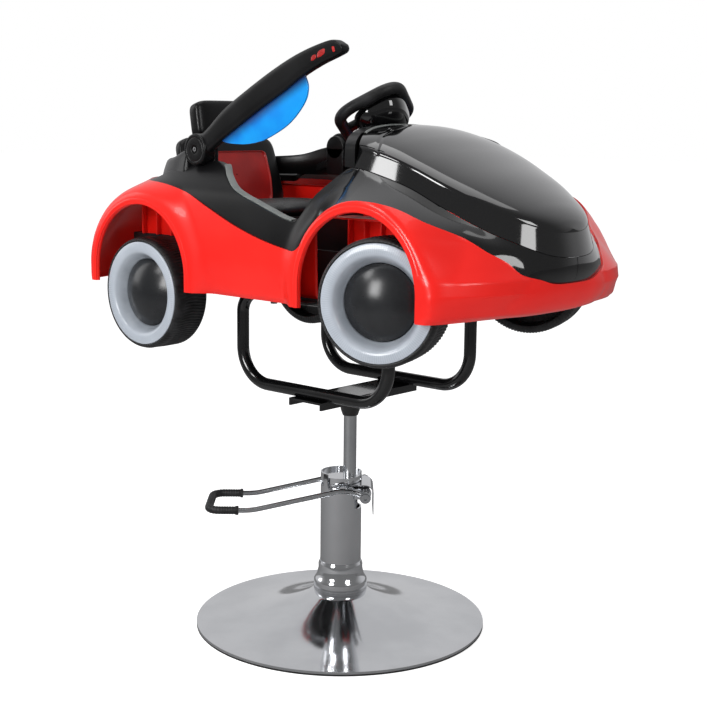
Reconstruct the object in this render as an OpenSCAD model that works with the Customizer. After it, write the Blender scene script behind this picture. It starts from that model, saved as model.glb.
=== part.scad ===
// Child's salon chair: a small car body on a hydraulic pump and round foot.
// Millimetres. Origin at the centre of the foot on the floor, +X to the nose, +Z up.

/* [Foot and pump] */
// Radius of the round foot
base_r = 300; // [260:1:340]
// Height of the flared foot at the column
base_h = 66; // [55:1:80]
// Sheet thickness of the foot
base_sheet = 2.5; // [1.5:0.1:4]
// Height of the turned rim over the floor
rim_h = 9; // [7:0.5:13]
// Height of the rubber ring under the rim
ring_h = 4; // [2:0.5:6]
// Radius of the pump column
column_r = 42.5; // [41:0.5:46]
// Height of the joint between the column and its head
seam_z = 249; // [240:1:256]
// Height of the open top of the pump head
head_z = 323; // [318:1:332]
// Radius of the lifting rod
rod_r = 13.5; // [11:0.5:15]
// Height of the socket's lower edge with the chair at rest
socket_z = 442; // [425:1:460]
// Radial running clearance of turned fits
fit = 0.05; // [0.02:0.01:0.08]

/* [Pedal] */
// Reach of the pedal behind its pivot
pedal_reach = 319; // [280:1:350]
// Distance between the two pedal rods
pedal_w = 130; // [122:1:150]
// Radius of the pedal rod
pedal_r = 5.25; // [4:0.25:6]
// Radius of the rubber sleeve
sleeve_r = 8; // [7:0.25:10]
// Height of the pedal pivot
pivot_z = 285; // [281:1:289]

/* [Frame] */
// Radius of the frame tube
tube_r = 12.5; // [10:0.5:15]
// Distance between the two tube loops
loop_gap = 250.8; // [220:1:270]
// Height of the lower tube runs
loop_low = 507; // [495:1:520]
// Height of the upper tube runs
loop_high = 692; // [690:0.5:692.4]
// Outer length of a loop between leg centres
loop_len = 394; // [360:1:420]
// Bend radius of the lower corners
bend_low = 72; // [50:1:85]
// Bend radius of the upper corners
bend_high = 43; // [30:1:60]

/* [Wheels] */
// Radius of the tyres
tyre_r = 113.5; // [105:0.5:115]
// Width of the tyres
tyre_w = 82; // [70:1:84]
// Radius of the pale ring in each wheel
ring_r = 107.3; // [95:0.1:108]
// Radius of the domed wheel cap
cap_r = 67; // [50:1:75]
// Bulge of the wheel cap
cap_bulge = 20; // [10:1:26]
// Turn of the front wheels at rest
steer_rest = 19.24; // [0:0.01:19.24]

/* [Body] */
// Height of the body's lower edge
body_z = 703; // [703:1:706]
// Height from the lower edge to the top of the rear deck
body_h = 280; // [270:1:290]
// Length from the joint line behind the seat to the rear end
rear_len = 350; // [340:1:370]
// Length from the joint line over the front axle to the nose
front_len = 303; // [290:1:315]
// Half width of the body shell
body_hw = 277; // [272:1:282]
// Thickness of the moulded shells
wall = 4; // [3:0.5:5]
// Radius of the wheel arches
arch_r = 136; // [130:1:140]
// Width of the lip round each arch
lip_w = 16; // [10:1:20]

/* [Door arms] */
// Length of a door arm from its hub
arm_len = 432; // [400:1:450]
// Thickness of a door arm
arm_t = 22; // [18:1:28]
// Turn of the open door arm at rest
door_rest = 26.5; // [0:0.5:26.5]

/* [Steering] */
// Width of the steering wheel
wheel_w = 190; // [160:1:196]
// Height of the steering wheel
wheel_h = 152; // [130:1:156]
// Slope of the steering column
column_slope = 55; // [53:1:57]
// Turn of the steering wheel at rest
wheel_rest = 35; // [0:1:35]

/* [Hidden] */

// Overrun of every cut past the face it opens
over = 1;
// Facets of large and small round parts
fine = 64;
coarse = 24;

// Foot and pump
hub_r = 60;
flare_power = 2.2;
flare_steps = 18;
ring_w = 16;
core_r = 36;
core_floor = 12;
core_gap = 1;
socket_wall = 7;
core_low = 232;
collar_r = 55;
collar_h = 67;
collar_wall = 3;
collar_bead = 1;
cover_wall = 3;
cap_low = 290;
cap_top = 316;
rod_off = 17.5;
neck_r = 17;
rod_low = 180;
rod_bore_low = 60;
rod_end_gap = 0.3;
pump_turn = 42.431;
pivot_u = 49;
shaft_r = 6;
ear_v = 32;
ear_t = 5;
ear_r = 13;
guard_t = 2;
guard_r = 16;
guard_hw = 40;
guard_drop = 44;
notch_low = 294;
notch_back = -26;
window_hw = 28;
fork_v = 21;
fork_t = 5;
fork_h = 14;
fork_hub_r = 10;
plunger_u = -22;
plunger_r = 7;
plunger_low = 190;
plunger_head_r = 9;
plunger_head_h = 5;
plunger_travel = 30;
press_z = 268;
press_r = 4;
press_gap = 0.5;

// Pedal
crest_u = 6;
crest_r = 75;
crest_drop = 63;
fall = 13;
run_r = 160;
run_u = -201;
corner_r = 24;
bead = 0.15;
bush_r = 10;
bush_len = 13;
sleeve_run = 62;
sleeve_end_r = 9.5;
sleeve_end_len = 7;
washer_r = 11.5;
washer_t = 2;
bolt_r = 9;
bolt_h = 6;
hex_r = 3.6;
hex_h = 4;

// Frame and mounting
car_shift = [-10.8, 11.8, 0];
car_pivot = 23.7;
socket_r = 20;
socket_low_r = 16;
socket_taper = 12;
socket_cap = 5;
mount_len = 52;
mount_w = 76;
mount_t = 5;
loop_mid = 35;
tube_wall = 2;
cross_len = 88;
cross_hw = 146;
cross_t = 4.5;
cross_leg = 15;
bolt_head_r = 7;
bolt_head_h = 5;
bolt_shank_r = 4;
bolt_x = [-72, 150];

// Wheels
rear_x = -298;
rear_z = 688;
front_z = 730;
rear_face = 280;
kingpin_x = 310;
kingpin_y = 190;
face_reach = 110;
axle_r = 7;
axle_gap = 1;
ring_depth = 9;
ring_dish = 5;
tyre_edge = 9;
tread_depth = 3;
groove_w = 5;
grooves = 4;
hub_hollow = 30;
hub_core_r = 22;
kingpin_r = 8;
sleeve_out_r = 14;
sleeve_h = 26;
knuckle_gap = 0.6;
steer_lock = 19.24;
sweep_steps = 4;
sweep_gap = 1.5;
knuckle_t = 6;
knuckle_out = 25;
arm_back = 60;
rod_pin_r = 4;
rod_pin_h = 11;
rod_bore_gap = 0.6;
tie_h = 8;
tie_w = 14;
tie_eye_r = 9;
beam_w = 24;

// Body
rear_join = -150;
front_join = 250;
rear_arch = [-297, 731];
front_arch = [288, 745];
bulge_r = 172;
bulge_top_r = arch_r + lip_w + 3;
bulge_in = 262;
bulge_out = 284;
lip_out = 288;
lip_in = 265;
arch_gap = 1;
step_in = wall + 0.2;
tuck = 6;
ring_points = 44;

// Height, rear reach, front reach, half width as shares, then squareness behind and ahead
layer_shares = [
    [0.000, 0.975, 0.850, 0.940, 6.0, 2.4],
    [0.030, 0.990, 0.930, 0.965, 6.5, 2.5],
    [0.130, 1.000, 0.990, 0.985, 7.0, 2.6],
    [0.250, 1.000, 1.000, 1.000, 6.5, 2.4],
    [0.360, 0.990, 0.992, 1.000, 5.8, 2.15],
    [0.460, 0.960, 0.975, 0.995, 5.0, 2.05],
    [0.560, 0.915, 0.940, 0.982, 4.4, 2.0],
    [0.650, 0.850, 0.900, 0.960, 3.8, 2.0],
    [0.720, 0.810, 0.840, 0.925, 3.0, 2.0],
    [0.780, 0.800, 0.740, 0.870, 2.6, 2.0],
    [0.850, 0.780, 0.600, 0.795, 2.5, 2.0],
    [0.910, 0.750, 0.450, 0.725, 2.5, 2.0]
];
// Front bumper: height, reach and half width as shares, then squareness
bumper_shares = [
    [0.000, 0.815, 1.444, 2.0], [0.032, 0.898, 1.400, 2.1], [0.168, 1.010, 1.245, 2.4],
    [0.250, 0.990, 1.210, 2.4], [0.311, 0.941, 1.173, 2.4], [0.468, 0.865, 1.047, 2.4],
    [0.596, 0.743, 0.920, 2.4]
];
// Colour boundary: places along the car as shares of the body length, heights of its height
edge_shares = [
    [-1.10, 0.760], [-0.70, 0.760], [-0.288, 0.750], [-0.182, 0.693], [-0.113, 0.604],
    [-0.025, 0.486], [0.060, 0.400], [0.131, 0.361], [0.150, 0.386], [0.176, 0.493],
    [0.208, 0.604], [0.243, 0.675], [0.285, 0.708], [0.330, 0.705], [0.374, 0.668],
    [0.418, 0.586], [0.465, 0.482], [0.488, 0.421], [0.513, 0.354], [0.529, 0.286],
    [0.544, 0.246], [0.553, 0.207], [0.60, 0.200]
];
// Upper line of the body under the hood and deck
deck_shares = [
    [-0.60, 0.80], [-0.160, 0.895], [-0.120, 0.880], [-0.092, 0.843], [-0.050, 0.746],
    [0.004, 0.664], [0.070, 0.589], [0.116, 0.548], [0.131, 0.560], [0.165, 0.745],
    [0.199, 0.900], [0.215, 0.898], [0.279, 0.832], [0.352, 0.750], [0.430, 0.604],
    [0.497, 0.511], [0.531, 0.429], [0.546, 0.368], [0.60, 0.330]
];
// Length that the outlines' shares along the car are counted in
car_share = 1.531394;
car_unit = car_share * (rear_len + front_len);

// Hood
hood_back = 146;
hood_nose = 556;
hood_hw = 197;
hood_join = 200;
hood_power = 1.85;
hood_slices = 13;
hood_arc = 18;
slice_t = 0.4;
// Station, seam height, crease height and crown height as shares
hood_shares = [
    [0.00, 0.900, 1.016, 1.171], [0.15, 0.900, 1.014, 1.171], [0.30, 0.855, 0.985, 1.150],
    [0.45, 0.785, 0.918, 1.095], [0.58, 0.690, 0.830, 1.018], [0.70, 0.600, 0.745, 0.936],
    [0.80, 0.525, 0.665, 0.862], [0.88, 0.470, 0.615, 0.795], [0.94, 0.420, 0.575, 0.722],
    [0.98, 0.385, 0.556, 0.645], [1.00, 0.372, 0.550, 0.560]
];
back_sag = 60;
dash_t = 24;
dash_clear = 0.3;
hood_ledge = 14;
trim_w = 16;
trim_h = 4;

// Rear deck
deck_hw = 240;
deck_top_hw = 228;
deck_in_hw = 197;
deck_rear = -440;
deck_rear_in = -405;
deck_low = 0.76;
hub_clear = 2;
deck_chamfer = 12;
// Upper line of the rear deck
deck_rise_shares = [
    [-0.441, 0.80], [-0.355, 0.857], [-0.279, 0.96], [-0.240, 1.0], [-0.149, 1.0]
];
deck_front = -150;

// Cabin
pan_hw = 190;
pan_front_hw = 165;
pan_rear = -430;
pan_front = 470;
pan_step = 170;
pan_h = 95;
pan_t = 4;
pan_z = loop_high + tube_r;
sill_ends = [-160, 146];
inner_wall_top = 895;
front_wall_top = 866;
shelf_ends = [-215, 218, 380];
inner_ribs = 6;
door_ends = [-150, 132];
door_hw = 226;
rib_w = 5;
rib_d = 4;

bracket_y = 152;

// Seat
seat_x = [-345, -95];
seat_hw = 168;
seat_top = 842;
pad_h = 28;
pad_hw = 150;
back_lean = 18;
back_h = 158;
back_t = 26;
back_hw = 138;
back_foot = -294;
seat_gap = 0.3;
// Height and drawn-in edge of the seat cushion as shares of its thickness
pad_shares = [[0, 0.2], [0.2, 0], [0.7, 0], [0.9, 0.2], [1, 0.6]];
insert_hw = 122;
insert_t = 16;
insert_h = 112;
rest_hw = 74;
rest_h = 74;
rest_t = 34;

// Steering
wheel_at = [80, 0, 1050];
grip_r = 11.5;
wheel_corner = 48;
wheel_hub_r = 30;
wheel_hub_h = 16;
column_r2 = 7;
column_foot = 752;
horn_r = 20;
horn_h = 7;
horn_travel = 3;
horn_gap = 0.3;

// Door arms
hub_at = [-195, 978];
hub_disc_r = 29;
hub_disc_w = 30;
arm_y = 210;
pin_r = 6;
ear_plate = 12;
ear_round = 26;
ear_gap = 0.5;
window_t = 4;
// Arm outline: reach as shares of the arm length, height as shares of the hub radius
arm_top_shares = [
    [0.00, 0.95], [0.07, 0.75], [0.235, 1.22], [0.40, 1.38], [0.61, 1.42], [0.77, 1.26],
    [0.92, 0.95], [0.975, 0.70], [1.00, 0.10]
];
arm_low_shares = [
    [0.99, -0.42], [0.965, -0.44], [0.85, -0.22], [0.73, -0.14], [0.61, -0.24],
    [0.46, -0.25], [0.29, -0.36], [0.17, -0.46], [0.00, -0.70]
];
window_shares = [
    [0.715, -0.15], [0.61, -0.24], [0.46, -0.25], [0.29, -0.36], [0.17, -0.46],
    [0.163, -0.68], [0.20, -1.10], [0.29, -1.80], [0.39, -2.26], [0.48, -2.36],
    [0.56, -2.28], [0.63, -1.94], [0.685, -1.44], [0.715, -0.86]
];

// Shared functions
function flare_z(r) = rim_h + (base_h - rim_h) * pow((base_r - r) / (base_r - hub_r), flare_power);
function flare(s) = [for (i = [0 : flare_steps])
    let (r = hub_r + (base_r - s - hub_r) * i / flare_steps) [r, flare_z(r) - s]];
function rev(v) = [for (i = [len(v) - 1 : -1 : 0]) v[i]];
function signed_pow(v, p) = sign(v) * pow(abs(v), p);
function layer_z(s) = body_z + s[0] * body_h;
function layer(s, inset) =
    let (
        w = s[3] * body_hw - inset,
        back = s[1] * rear_len - inset,
        ahead = s[2] * front_len - inset
    )
    [for (i = [0 : ring_points - 1])
        let (
            t = 360 * (i + 0.5) / ring_points,
            front = cos(t) > 0,
            p = 2 / (front ? s[5] : s[4])
        )
        [(front ? front_join + ahead * signed_pow(cos(t), p)
                : rear_join + back * signed_pow(cos(t), p)), w * signed_pow(sin(t), p)]];
function side_line(shares) = [for (s = shares) [s[0] * car_unit, body_z + s[1] * body_h]];
function arm_line(shares) = [for (s = shares) [s[0] * arm_len, s[1] * hub_disc_r]];

module on_pump() rotate([0, 0, pump_turn]) children();
module on_car() translate(car_shift) children();
module on_pivot() on_pump() translate([pivot_u, 0, pivot_z]) children();
module across(d) translate([0, d / 2, 0]) rotate([90, 0, 0]) linear_extrude(d) children();
module both_sides() {
    children();
    mirror([0, 1, 0]) children();
}
module elbow(bend, turn, r) rotate_extrude(angle = turn, $fn = fine)
    translate([bend, 0]) circle(r, $fn = coarse);

// Foot
module base_disc() color("silver") rotate_extrude($fn = 2 * fine) polygon(concat(
    [[core_r + core_gap, base_h]], flare(0), [[base_r, ring_h], [base_r - base_sheet, ring_h]],
    rev(flare(base_sheet)), [[core_r + core_gap, base_h - base_sheet]]
));

module base_ring() color("dimgray") rotate_extrude($fn = 2 * fine) polygon([
    [base_r - ring_w, 0], [base_r - ring_h / 4, 0], [base_r, ring_h / 4], [base_r, ring_h],
    [base_r - ring_w, ring_h]
]);

module base_socket() {
    top = base_h - base_sheet;
    wall_r = core_r + fit + socket_wall;
    color("gray") rotate_extrude($fn = fine) polygon([
        [core_r + fit, core_floor], [wall_r, core_floor], [wall_r, top - base_sheet * 4],
        [hub_r, top - base_sheet * 3], [hub_r, top], [core_r + fit, top]
    ]);
}

module column_collar() {
    r0 = column_r + fit;
    color("silver") translate([0, 0, base_h]) rotate_extrude($fn = fine) polygon([
        [r0, 0], [collar_r, 0], [collar_r + collar_bead, collar_h * 0.2], [collar_r, collar_h * 0.4],
        [collar_r - collar_wall * 2, collar_h * 0.55], [collar_r - collar_wall * 3, collar_h * 0.75],
        [collar_r - collar_wall * 3, collar_h * 0.9], [r0 + collar_bead, collar_h],
        [r0, collar_h]
    ]);
}

// Pump column
module pump_tube() color("silver") translate([0, 0, base_h]) difference() {
    cylinder(r = column_r, h = seam_z - base_h, $fn = fine);
    translate([0, 0, -over]) cylinder(r = column_r - cover_wall, h = seam_z, $fn = fine);
}

module pump_head() on_pump() color("silver") difference() {
    union() {
        translate([0, 0, seam_z]) cylinder(r = column_r, h = head_z - seam_z, $fn = fine);
        for (side = [-1, 1]) translate([0, side * (ear_v + ear_t / 2), 0]) across(ear_t) {
            translate([pivot_u, pivot_z]) circle(ear_r, $fn = fine);
            translate([pivot_u - column_r / 2, pivot_z - ear_r]) square([column_r / 2, 2 * ear_r]);
        }
    }
    translate([0, 0, seam_z - over]) cylinder(r = column_r - cover_wall, h = head_z, $fn = fine);
    translate([pivot_u, 0, pivot_z]) across(4 * column_r) circle(shaft_r + fit, $fn = fine);
    translate([column_r / 2, -window_hw, seam_z - over])
        cube([column_r, 2 * window_hw, notch_low - seam_z + over]);
    translate([notch_back, -2 * column_r, notch_low]) cube([3 * column_r, 2 * column_r, head_z]);
}

module pump_cylinder() on_pump() color("gray") difference() {
    union() {
        translate([0, 0, core_floor]) cylinder(r = core_r, h = core_low - core_floor, $fn = fine);
        translate([rod_off, 0, core_low]) cylinder(r = neck_r, h = cap_low - core_low, $fn = fine);
    }
    translate([rod_off, 0, rod_bore_low]) cylinder(r = rod_r + fit, h = cap_low, $fn = fine);
    translate([plunger_u, 0, plunger_low - plunger_travel])
        cylinder(r = plunger_r + fit, h = cap_low, $fn = fine);
}

module pump_cap() on_pump() color("silver") translate([0, 0, cap_low]) difference() {
    cylinder(r = column_r - cover_wall - fit, h = cap_top - cap_low, $fn = fine);
    translate([rod_off, 0, -over]) cylinder(r = rod_r + fit, h = cap_top, $fn = fine);
}

module guard_plate() on_pump() color("silver") difference() {
    across(2 * guard_hw) {
        translate([0, pivot_z + guard_r]) square([pivot_u, guard_t]);
        translate([pivot_u + guard_r, pivot_z - guard_drop]) square([guard_t, guard_drop]);
        translate([pivot_u, pivot_z]) intersection() {
            difference() {
                circle(guard_r + guard_t, $fn = fine);
                circle(guard_r, $fn = fine);
            }
            square(guard_r + guard_t);
        }
    }
    cylinder(r = column_r, h = 2 * head_z, $fn = fine);
}

module piston_rod() on_pump() color("silver") translate([rod_off, 0, rod_low]) {
    cylinder(r = rod_r, h = rod_top - rod_end_gap - rod_low, $fn = fine);
}

module plunger() on_pump() color("gray") translate([plunger_u, 0, 0]) {
    top = press_z - press_r - press_gap;
    translate([0, 0, plunger_low]) cylinder(r = plunger_r, h = top - plunger_low, $fn = fine);
    translate([0, 0, top - plunger_head_h])
        cylinder(r = plunger_head_r, h = plunger_head_h, $fn = fine);
}

// Pedal
module pump_fork() on_pump() color("gray") {
    run = pivot_u - plunger_u;
    drop = pivot_z - press_z;
    difference() {
        translate([pivot_u, 0, pivot_z]) {
            for (side = [-1, 1]) translate([0, side * fork_v, 0]) {
                across(fork_t) circle(fork_hub_r, $fn = fine);
                across(fork_t) polygon([
                    [0, fork_h / 2], [0, -fork_h / 2], [-run, -drop - fork_h / 2],
                    [-run, -drop + fork_h / 2]
                ]);
            }
            across(2 * fork_v) circle(fork_hub_r, $fn = fine);
            translate([-run, 0, -drop]) across(2 * fork_v) circle(press_r, $fn = coarse);
        }
        translate([pivot_u, 0, pivot_z]) across(4 * fork_v) circle(shaft_r, $fn = fine);
    }
}

// The closed end of the pedal, seen from above a U
module pedal_end(r, back) {
    for (side = [-1, 1]) translate([0, side * pedal_w / 2, 0])
        translate([back + corner_r, 0, 0]) rotate([0, 90, 0])
            cylinder(r = r, h = run_u - back - corner_r, $fn = coarse);
    for (side = [-1, 1]) translate([back + corner_r, side * (pedal_w / 2 - corner_r), 0])
        rotate([0, 0, side > 0 ? 90 : 180]) elbow(corner_r, 90, r);
    translate([back, -pedal_w / 2 + corner_r, 0]) rotate([-90, 0, 0])
        cylinder(r = r, h = pedal_w - 2 * corner_r, $fn = coarse);
}

function pedal_low() = pivot_z - crest_drop + crest_r * cos(fall)
    - (crest_u - crest_r * sin(fall) - run_u - run_r * sin(fall)) * tan(fall)
    - run_r * (1 - cos(fall));
function arc_points(c, r, from, to, n) = [for (i = [0 : n])
    let (a = from + (to - from) * i / n) [c[0] + r * cos(a), c[1] + r * sin(a)]];
function pedal_line() = concat(
    arc_points([crest_u, pivot_z - crest_drop], crest_r, 90 - asin((pivot_u - crest_u) / crest_r),
        90 + fall, 6),
    arc_points([run_u, pedal_low() + run_r], run_r, 270 + fall, 270, 2)
);

// One bent rod: straight lengths joined by balls a little fatter than the rod
module pedal_rod(line) for (i = [0 : len(line) - 2]) {
    step = line[i + 1] - line[i];
    translate([line[i][0], 0, line[i][1]]) rotate([0, 90 - atan2(step[1], step[0]), 0])
        cylinder(r = pedal_r, h = norm(step), $fn = coarse);
    translate([line[i + 1][0], 0, line[i + 1][1]]) sphere(r = pedal_r + bead, $fn = coarse);
}

module pedal_lever() on_pump() color("silver") difference() {
    union() {
        for (side = [-1, 1]) translate([0, side * pedal_w / 2, 0]) pedal_rod(pedal_line());
        translate([0, 0, pedal_low()]) pedal_end(pedal_r, pivot_u - pedal_reach);
        translate([pivot_u, 0, pivot_z]) for (side = [-1, 1])
            translate([0, side * pedal_w / 2, 0]) across(bush_len) circle(bush_r, $fn = fine);
    }
    translate([pivot_u, 0, pivot_z]) across(2 * pedal_w) circle(shaft_r, $fn = fine);
}

module pedal_sleeve() on_pump() color("#202020") translate([0, 0, pedal_low()]) {
    back = pivot_u - pedal_reach;
    difference() {
        union() {
            intersection() {
                pedal_end(sleeve_r, back);
                translate([back - 2 * sleeve_r, -pedal_w, -pedal_w])
                    cube([sleeve_run + 2 * sleeve_r, 2 * pedal_w, 2 * pedal_w]);
            }
            for (side = [-1, 1])
                translate([back + sleeve_run - sleeve_end_len, side * pedal_w / 2, 0])
                    rotate([0, 90, 0]) cylinder(r = sleeve_end_r, h = sleeve_end_len, $fn = coarse);
        }
        pedal_end(pedal_r, back);
    }
}

module pedal_shaft() on_pivot() color("gray") across(pedal_w + bush_len) circle(shaft_r, $fn = fine);

module pedal_bolts() on_pivot() color("silver") both_sides()
    translate([0, -(pedal_w + bush_len) / 2, 0]) rotate([90, 0, 0]) difference() {
        union() {
            cylinder(r = washer_r, h = washer_t, $fn = fine);
            cylinder(r = bolt_r, h = washer_t + bolt_h, $fn = fine);
        }
        translate([0, 0, washer_t + bolt_h - hex_h]) cylinder(r = hex_r, h = bolt_h, $fn = 6);
    }

// Swivel mounting
cross_top = loop_low - tube_r;
web_z = cross_top - cross_t;
mount_z = web_z - mount_t;
rod_top = mount_z - socket_cap;

module swivel_socket() on_pump() color("#181818") translate([rod_off, 0, 0]) difference() {
    union() {
        translate([0, 0, socket_z])
            cylinder(r1 = socket_low_r, r2 = socket_r, h = socket_taper, $fn = fine);
        translate([0, 0, socket_z + socket_taper])
            cylinder(r = socket_r, h = mount_z - socket_z - socket_taper, $fn = fine);
    }
    translate([0, 0, socket_z - over]) cylinder(r = rod_r + fit, h = rod_top - socket_z + over,
        $fn = fine);
}

module mount_plate() on_car() color("#181818") translate([car_pivot, 0, mount_z]) {
    translate([-mount_len / 2, -mount_w / 2, 0]) cube([mount_len, mount_w, mount_t]);
    for (x = [-1, 1], y = [-1, 1])
        translate([x * mount_len / 3, y * mount_w / 3, -bolt_head_h])
            cylinder(r = bolt_head_r, h = bolt_head_h, $fn = 6);
}

module cross_plate() on_car() color("#181818") translate([loop_mid - cross_len / 2, 0, 0])
    across(2 * cross_hw) polygon([
        [0, cross_top], [cross_len, cross_top], [cross_len, cross_top - cross_leg],
        [cross_len - cross_t, cross_top - cross_leg], [cross_len - cross_t, web_z],
        [cross_t, web_z], [cross_t, cross_top - cross_leg], [0, cross_top - cross_leg]
    ]);

// Tube frame
module loop_path(r) {
    x0 = loop_mid - loop_len / 2;
    x1 = loop_mid + loop_len / 2;
    translate([x0 + bend_low, 0, loop_low]) rotate([0, 90, 0])
        cylinder(r = r, h = loop_len - 2 * bend_low, $fn = coarse);
    translate([x0 + bend_high, 0, loop_high]) rotate([0, 90, 0])
        cylinder(r = r, h = loop_len - 2 * bend_high, $fn = coarse);
    for (x = [x0, x1]) translate([x, 0, loop_low + bend_low])
        cylinder(r = r, h = loop_high - loop_low - bend_low - bend_high, $fn = coarse);
    for (end = [-1, 1]) translate([end < 0 ? x0 + bend_low : x1 - bend_low, 0, loop_low + bend_low])
        rotate([90, 0, 0]) rotate([0, 0, end < 0 ? 180 : 270]) elbow(bend_low, 90, r);
    for (end = [-1, 1]) translate([end < 0 ? x0 + bend_high : x1 - bend_high, 0, loop_high - bend_high])
        rotate([90, 0, 0]) rotate([0, 0, end < 0 ? 90 : 0]) elbow(bend_high, 90, r);
}

module frame_loop(side) on_car() color("#181818")
    translate([0, side * loop_gap / 2, 0]) difference() {
        loop_path(tube_r);
        loop_path(tube_r - tube_wall);
        for (x = bolt_x) translate([x, 0, loop_high - tube_r - over])
            cylinder(r = bolt_shank_r, h = 2 * tube_r + 2 * over, $fn = coarse);
    }
module frame_loop_right() frame_loop(-1);
module frame_loop_left() frame_loop(1);

module frame_bolts() on_car() color("dimgray") for (side = [-1, 1], x = bolt_x)
    translate([x, side * loop_gap / 2, 0]) {
        low = loop_high - tube_r;
        high = pan_z + pan_t;
        translate([0, 0, low - bolt_head_h]) cylinder(r = bolt_head_r, h = bolt_head_h, $fn = 6);
        translate([0, 0, low]) cylinder(r = bolt_shank_r, h = high - low, $fn = coarse);
        translate([0, 0, high])
            cylinder(r1 = bolt_head_r * 1.4, r2 = bolt_head_r, h = bolt_head_h / 2, $fn = coarse);
    }

// Body shells
module body_loft(inset) for (i = [0 : len(layer_shares) - 2]) hull() for (k = [i, i + 1])
    let (s = layer_shares[k]) translate([0, 0, layer_z(s)])
        linear_extrude(slice_t) polygon(layer(s, inset));

function bumper(s, inset) = [for (i = [-hood_arc : hood_arc])
    let (
        t = 90 * i / hood_arc,
        y = (s[2] * body_hw - inset) * signed_pow(sin(t), 2 / s[3])
    )
    [front_join + (s[1] * front_len - inset) * pow(cos(t), 2 / s[3]), y]];
module bumper_loft(inset) intersection() {
    for (i = [0 : len(bumper_shares) - 2]) hull() for (k = [i, i + 1])
        let (s = bumper_shares[k]) translate([0, 0, layer_z(s)])
            linear_extrude(slice_t) polygon(bumper(s, inset));
    translate([front_join, inset - lip_out, 0]) cube([car_unit, 2 * (lip_out - inset), 2 * body_z]);
}

module under_edge(drop) across(4 * body_hw) polygon(concat(
    side_line([for (s = edge_shares) [s[0], s[1] - drop / body_h]]),
    [[car_unit, 0], [-car_unit, 0]]
));
module over_edge(drop) across(4 * body_hw) polygon(concat(
    side_line([for (s = edge_shares) [s[0], s[1] - drop / body_h]]),
    [[car_unit, 2 * body_z], [-car_unit, 2 * body_z]]
));
module under_deck(drop) across(4 * body_hw) polygon(concat(
    side_line([for (s = deck_shares) [s[0], s[1] - drop / body_h]]),
    [[car_unit, 0], [-car_unit, 0]]
));
module arch_shape(c, r) {
    translate(c) circle(r, $fn = fine);
    translate([c[0] - r, 0]) square([2 * r, c[1]]);
}
module arch_volume(c, r, from, to) translate([0, -from, 0]) rotate([90, 0, 0])
    linear_extrude(to - from) arch_shape(c, r);

module fender_bulge(c) intersection() {
    translate([c[0], -bulge_in, c[1]]) rotate([90, 0, 0])
        cylinder(r1 = bulge_r, r2 = bulge_top_r, h = bulge_out - bulge_in, $fn = fine);
    translate([-car_unit, -2 * body_hw, body_z]) cube([2 * car_unit, 2 * body_hw, body_h]);
}

module arch_lip(c) translate([0, -lip_in, 0]) rotate([90, 0, 0])
    linear_extrude(lip_out - lip_in) intersection() {
        difference() {
            arch_shape(c, arch_r + lip_w);
            arch_shape(c, arch_r);
        }
        translate([-car_unit, body_z]) square([2 * car_unit, body_h]);
    }

// Space that a front wheel takes up between its two locks
module wheel_sweep() for (i = [-sweep_steps : sweep_steps])
    translate([kingpin_x, -kingpin_y, front_z]) rotate([0, 0, steer_lock * i / sweep_steps])
        translate([0, -face_reach, 0]) rotate([90, 0, 0]) rotate_extrude($fn = fine) polygon([
            [0, -tyre_w], [tyre_r + sweep_gap, -tyre_w], [tyre_r + sweep_gap, sweep_gap - tyre_edge],
            [ring_r + sweep_gap, sweep_gap], [ring_r + sweep_gap - ring_dish / 2, sweep_gap + ring_dish / 2],
            [0, sweep_gap + ring_dish / 2]
        ]);

module inner_wall(x0, x1, y, top) {
    low = pan_z + pan_h;
    translate([x0, -y, low]) cube([x1 - x0, wall, top - low]);
    for (i = [0 : inner_ribs]) translate([x0 + (x1 - x0 - rib_w) * i / inner_ribs, -y - rib_d, low])
        cube([rib_w, rib_d + wall / 2, top - low - wall / 2]);
}

module shelf(x0, x1, y, top) translate([x0, seat_gap - lip_in, top - wall])
    cube([x1 - x0, lip_in - seat_gap - y + wall / 2, wall]);

module lower_body() on_car() color("red") {
    body_side();
    both_sides() {
        arch_lip(rear_arch);
        difference() {
            arch_lip(front_arch);
            wheel_sweep();
        }
    }
}
module arch_walls() on_car() color("red") both_sides() intersection() {
    body_loft(step_in);
    union() {
        inner_wall(pan_rear, sill_ends[0], pan_hw, inner_wall_top);
        shelf(pan_rear, shelf_ends[0], pan_hw, inner_wall_top);
        inner_wall(pan_step, shelf_ends[2], pan_front_hw, front_wall_top);
        shelf(shelf_ends[1], shelf_ends[2], pan_front_hw, front_wall_top);
    }
}
module body_side() {
    difference() {
        union() {
            body_loft(0);
            bumper_loft(0);
            both_sides() {
                fender_bulge(rear_arch);
                fender_bulge(front_arch);
            }
        }
        body_loft(wall);
        bumper_loft(wall);
        both_sides() {
            arch_volume(rear_arch, arch_r + arch_gap, pan_hw, 2 * body_hw);
            arch_volume(front_arch, arch_r + arch_gap, pan_front_hw, 2 * body_hw);
            wheel_sweep();
        }
        over_edge(0);
    }
}

// The cabin opening in plan
module cabin_plan() {
    deck_plan(deck_in_hw, deck_rear_in, door_ends[0]);
    translate([door_ends[0] - over, -door_hw]) square([door_ends[1] - door_ends[0] + over, 2 * door_hw]);
}

module hood_plan(inset) polygon([for (y = [-hood_arc : hood_arc])
    let (t = 90 * y / hood_arc)
    [hood_join + (hood_nose - hood_join - inset) * signed_pow(cos(t), 2 / hood_power),
        (hood_hw - inset) * signed_pow(sin(t), 2 / hood_power)]
]);

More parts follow.
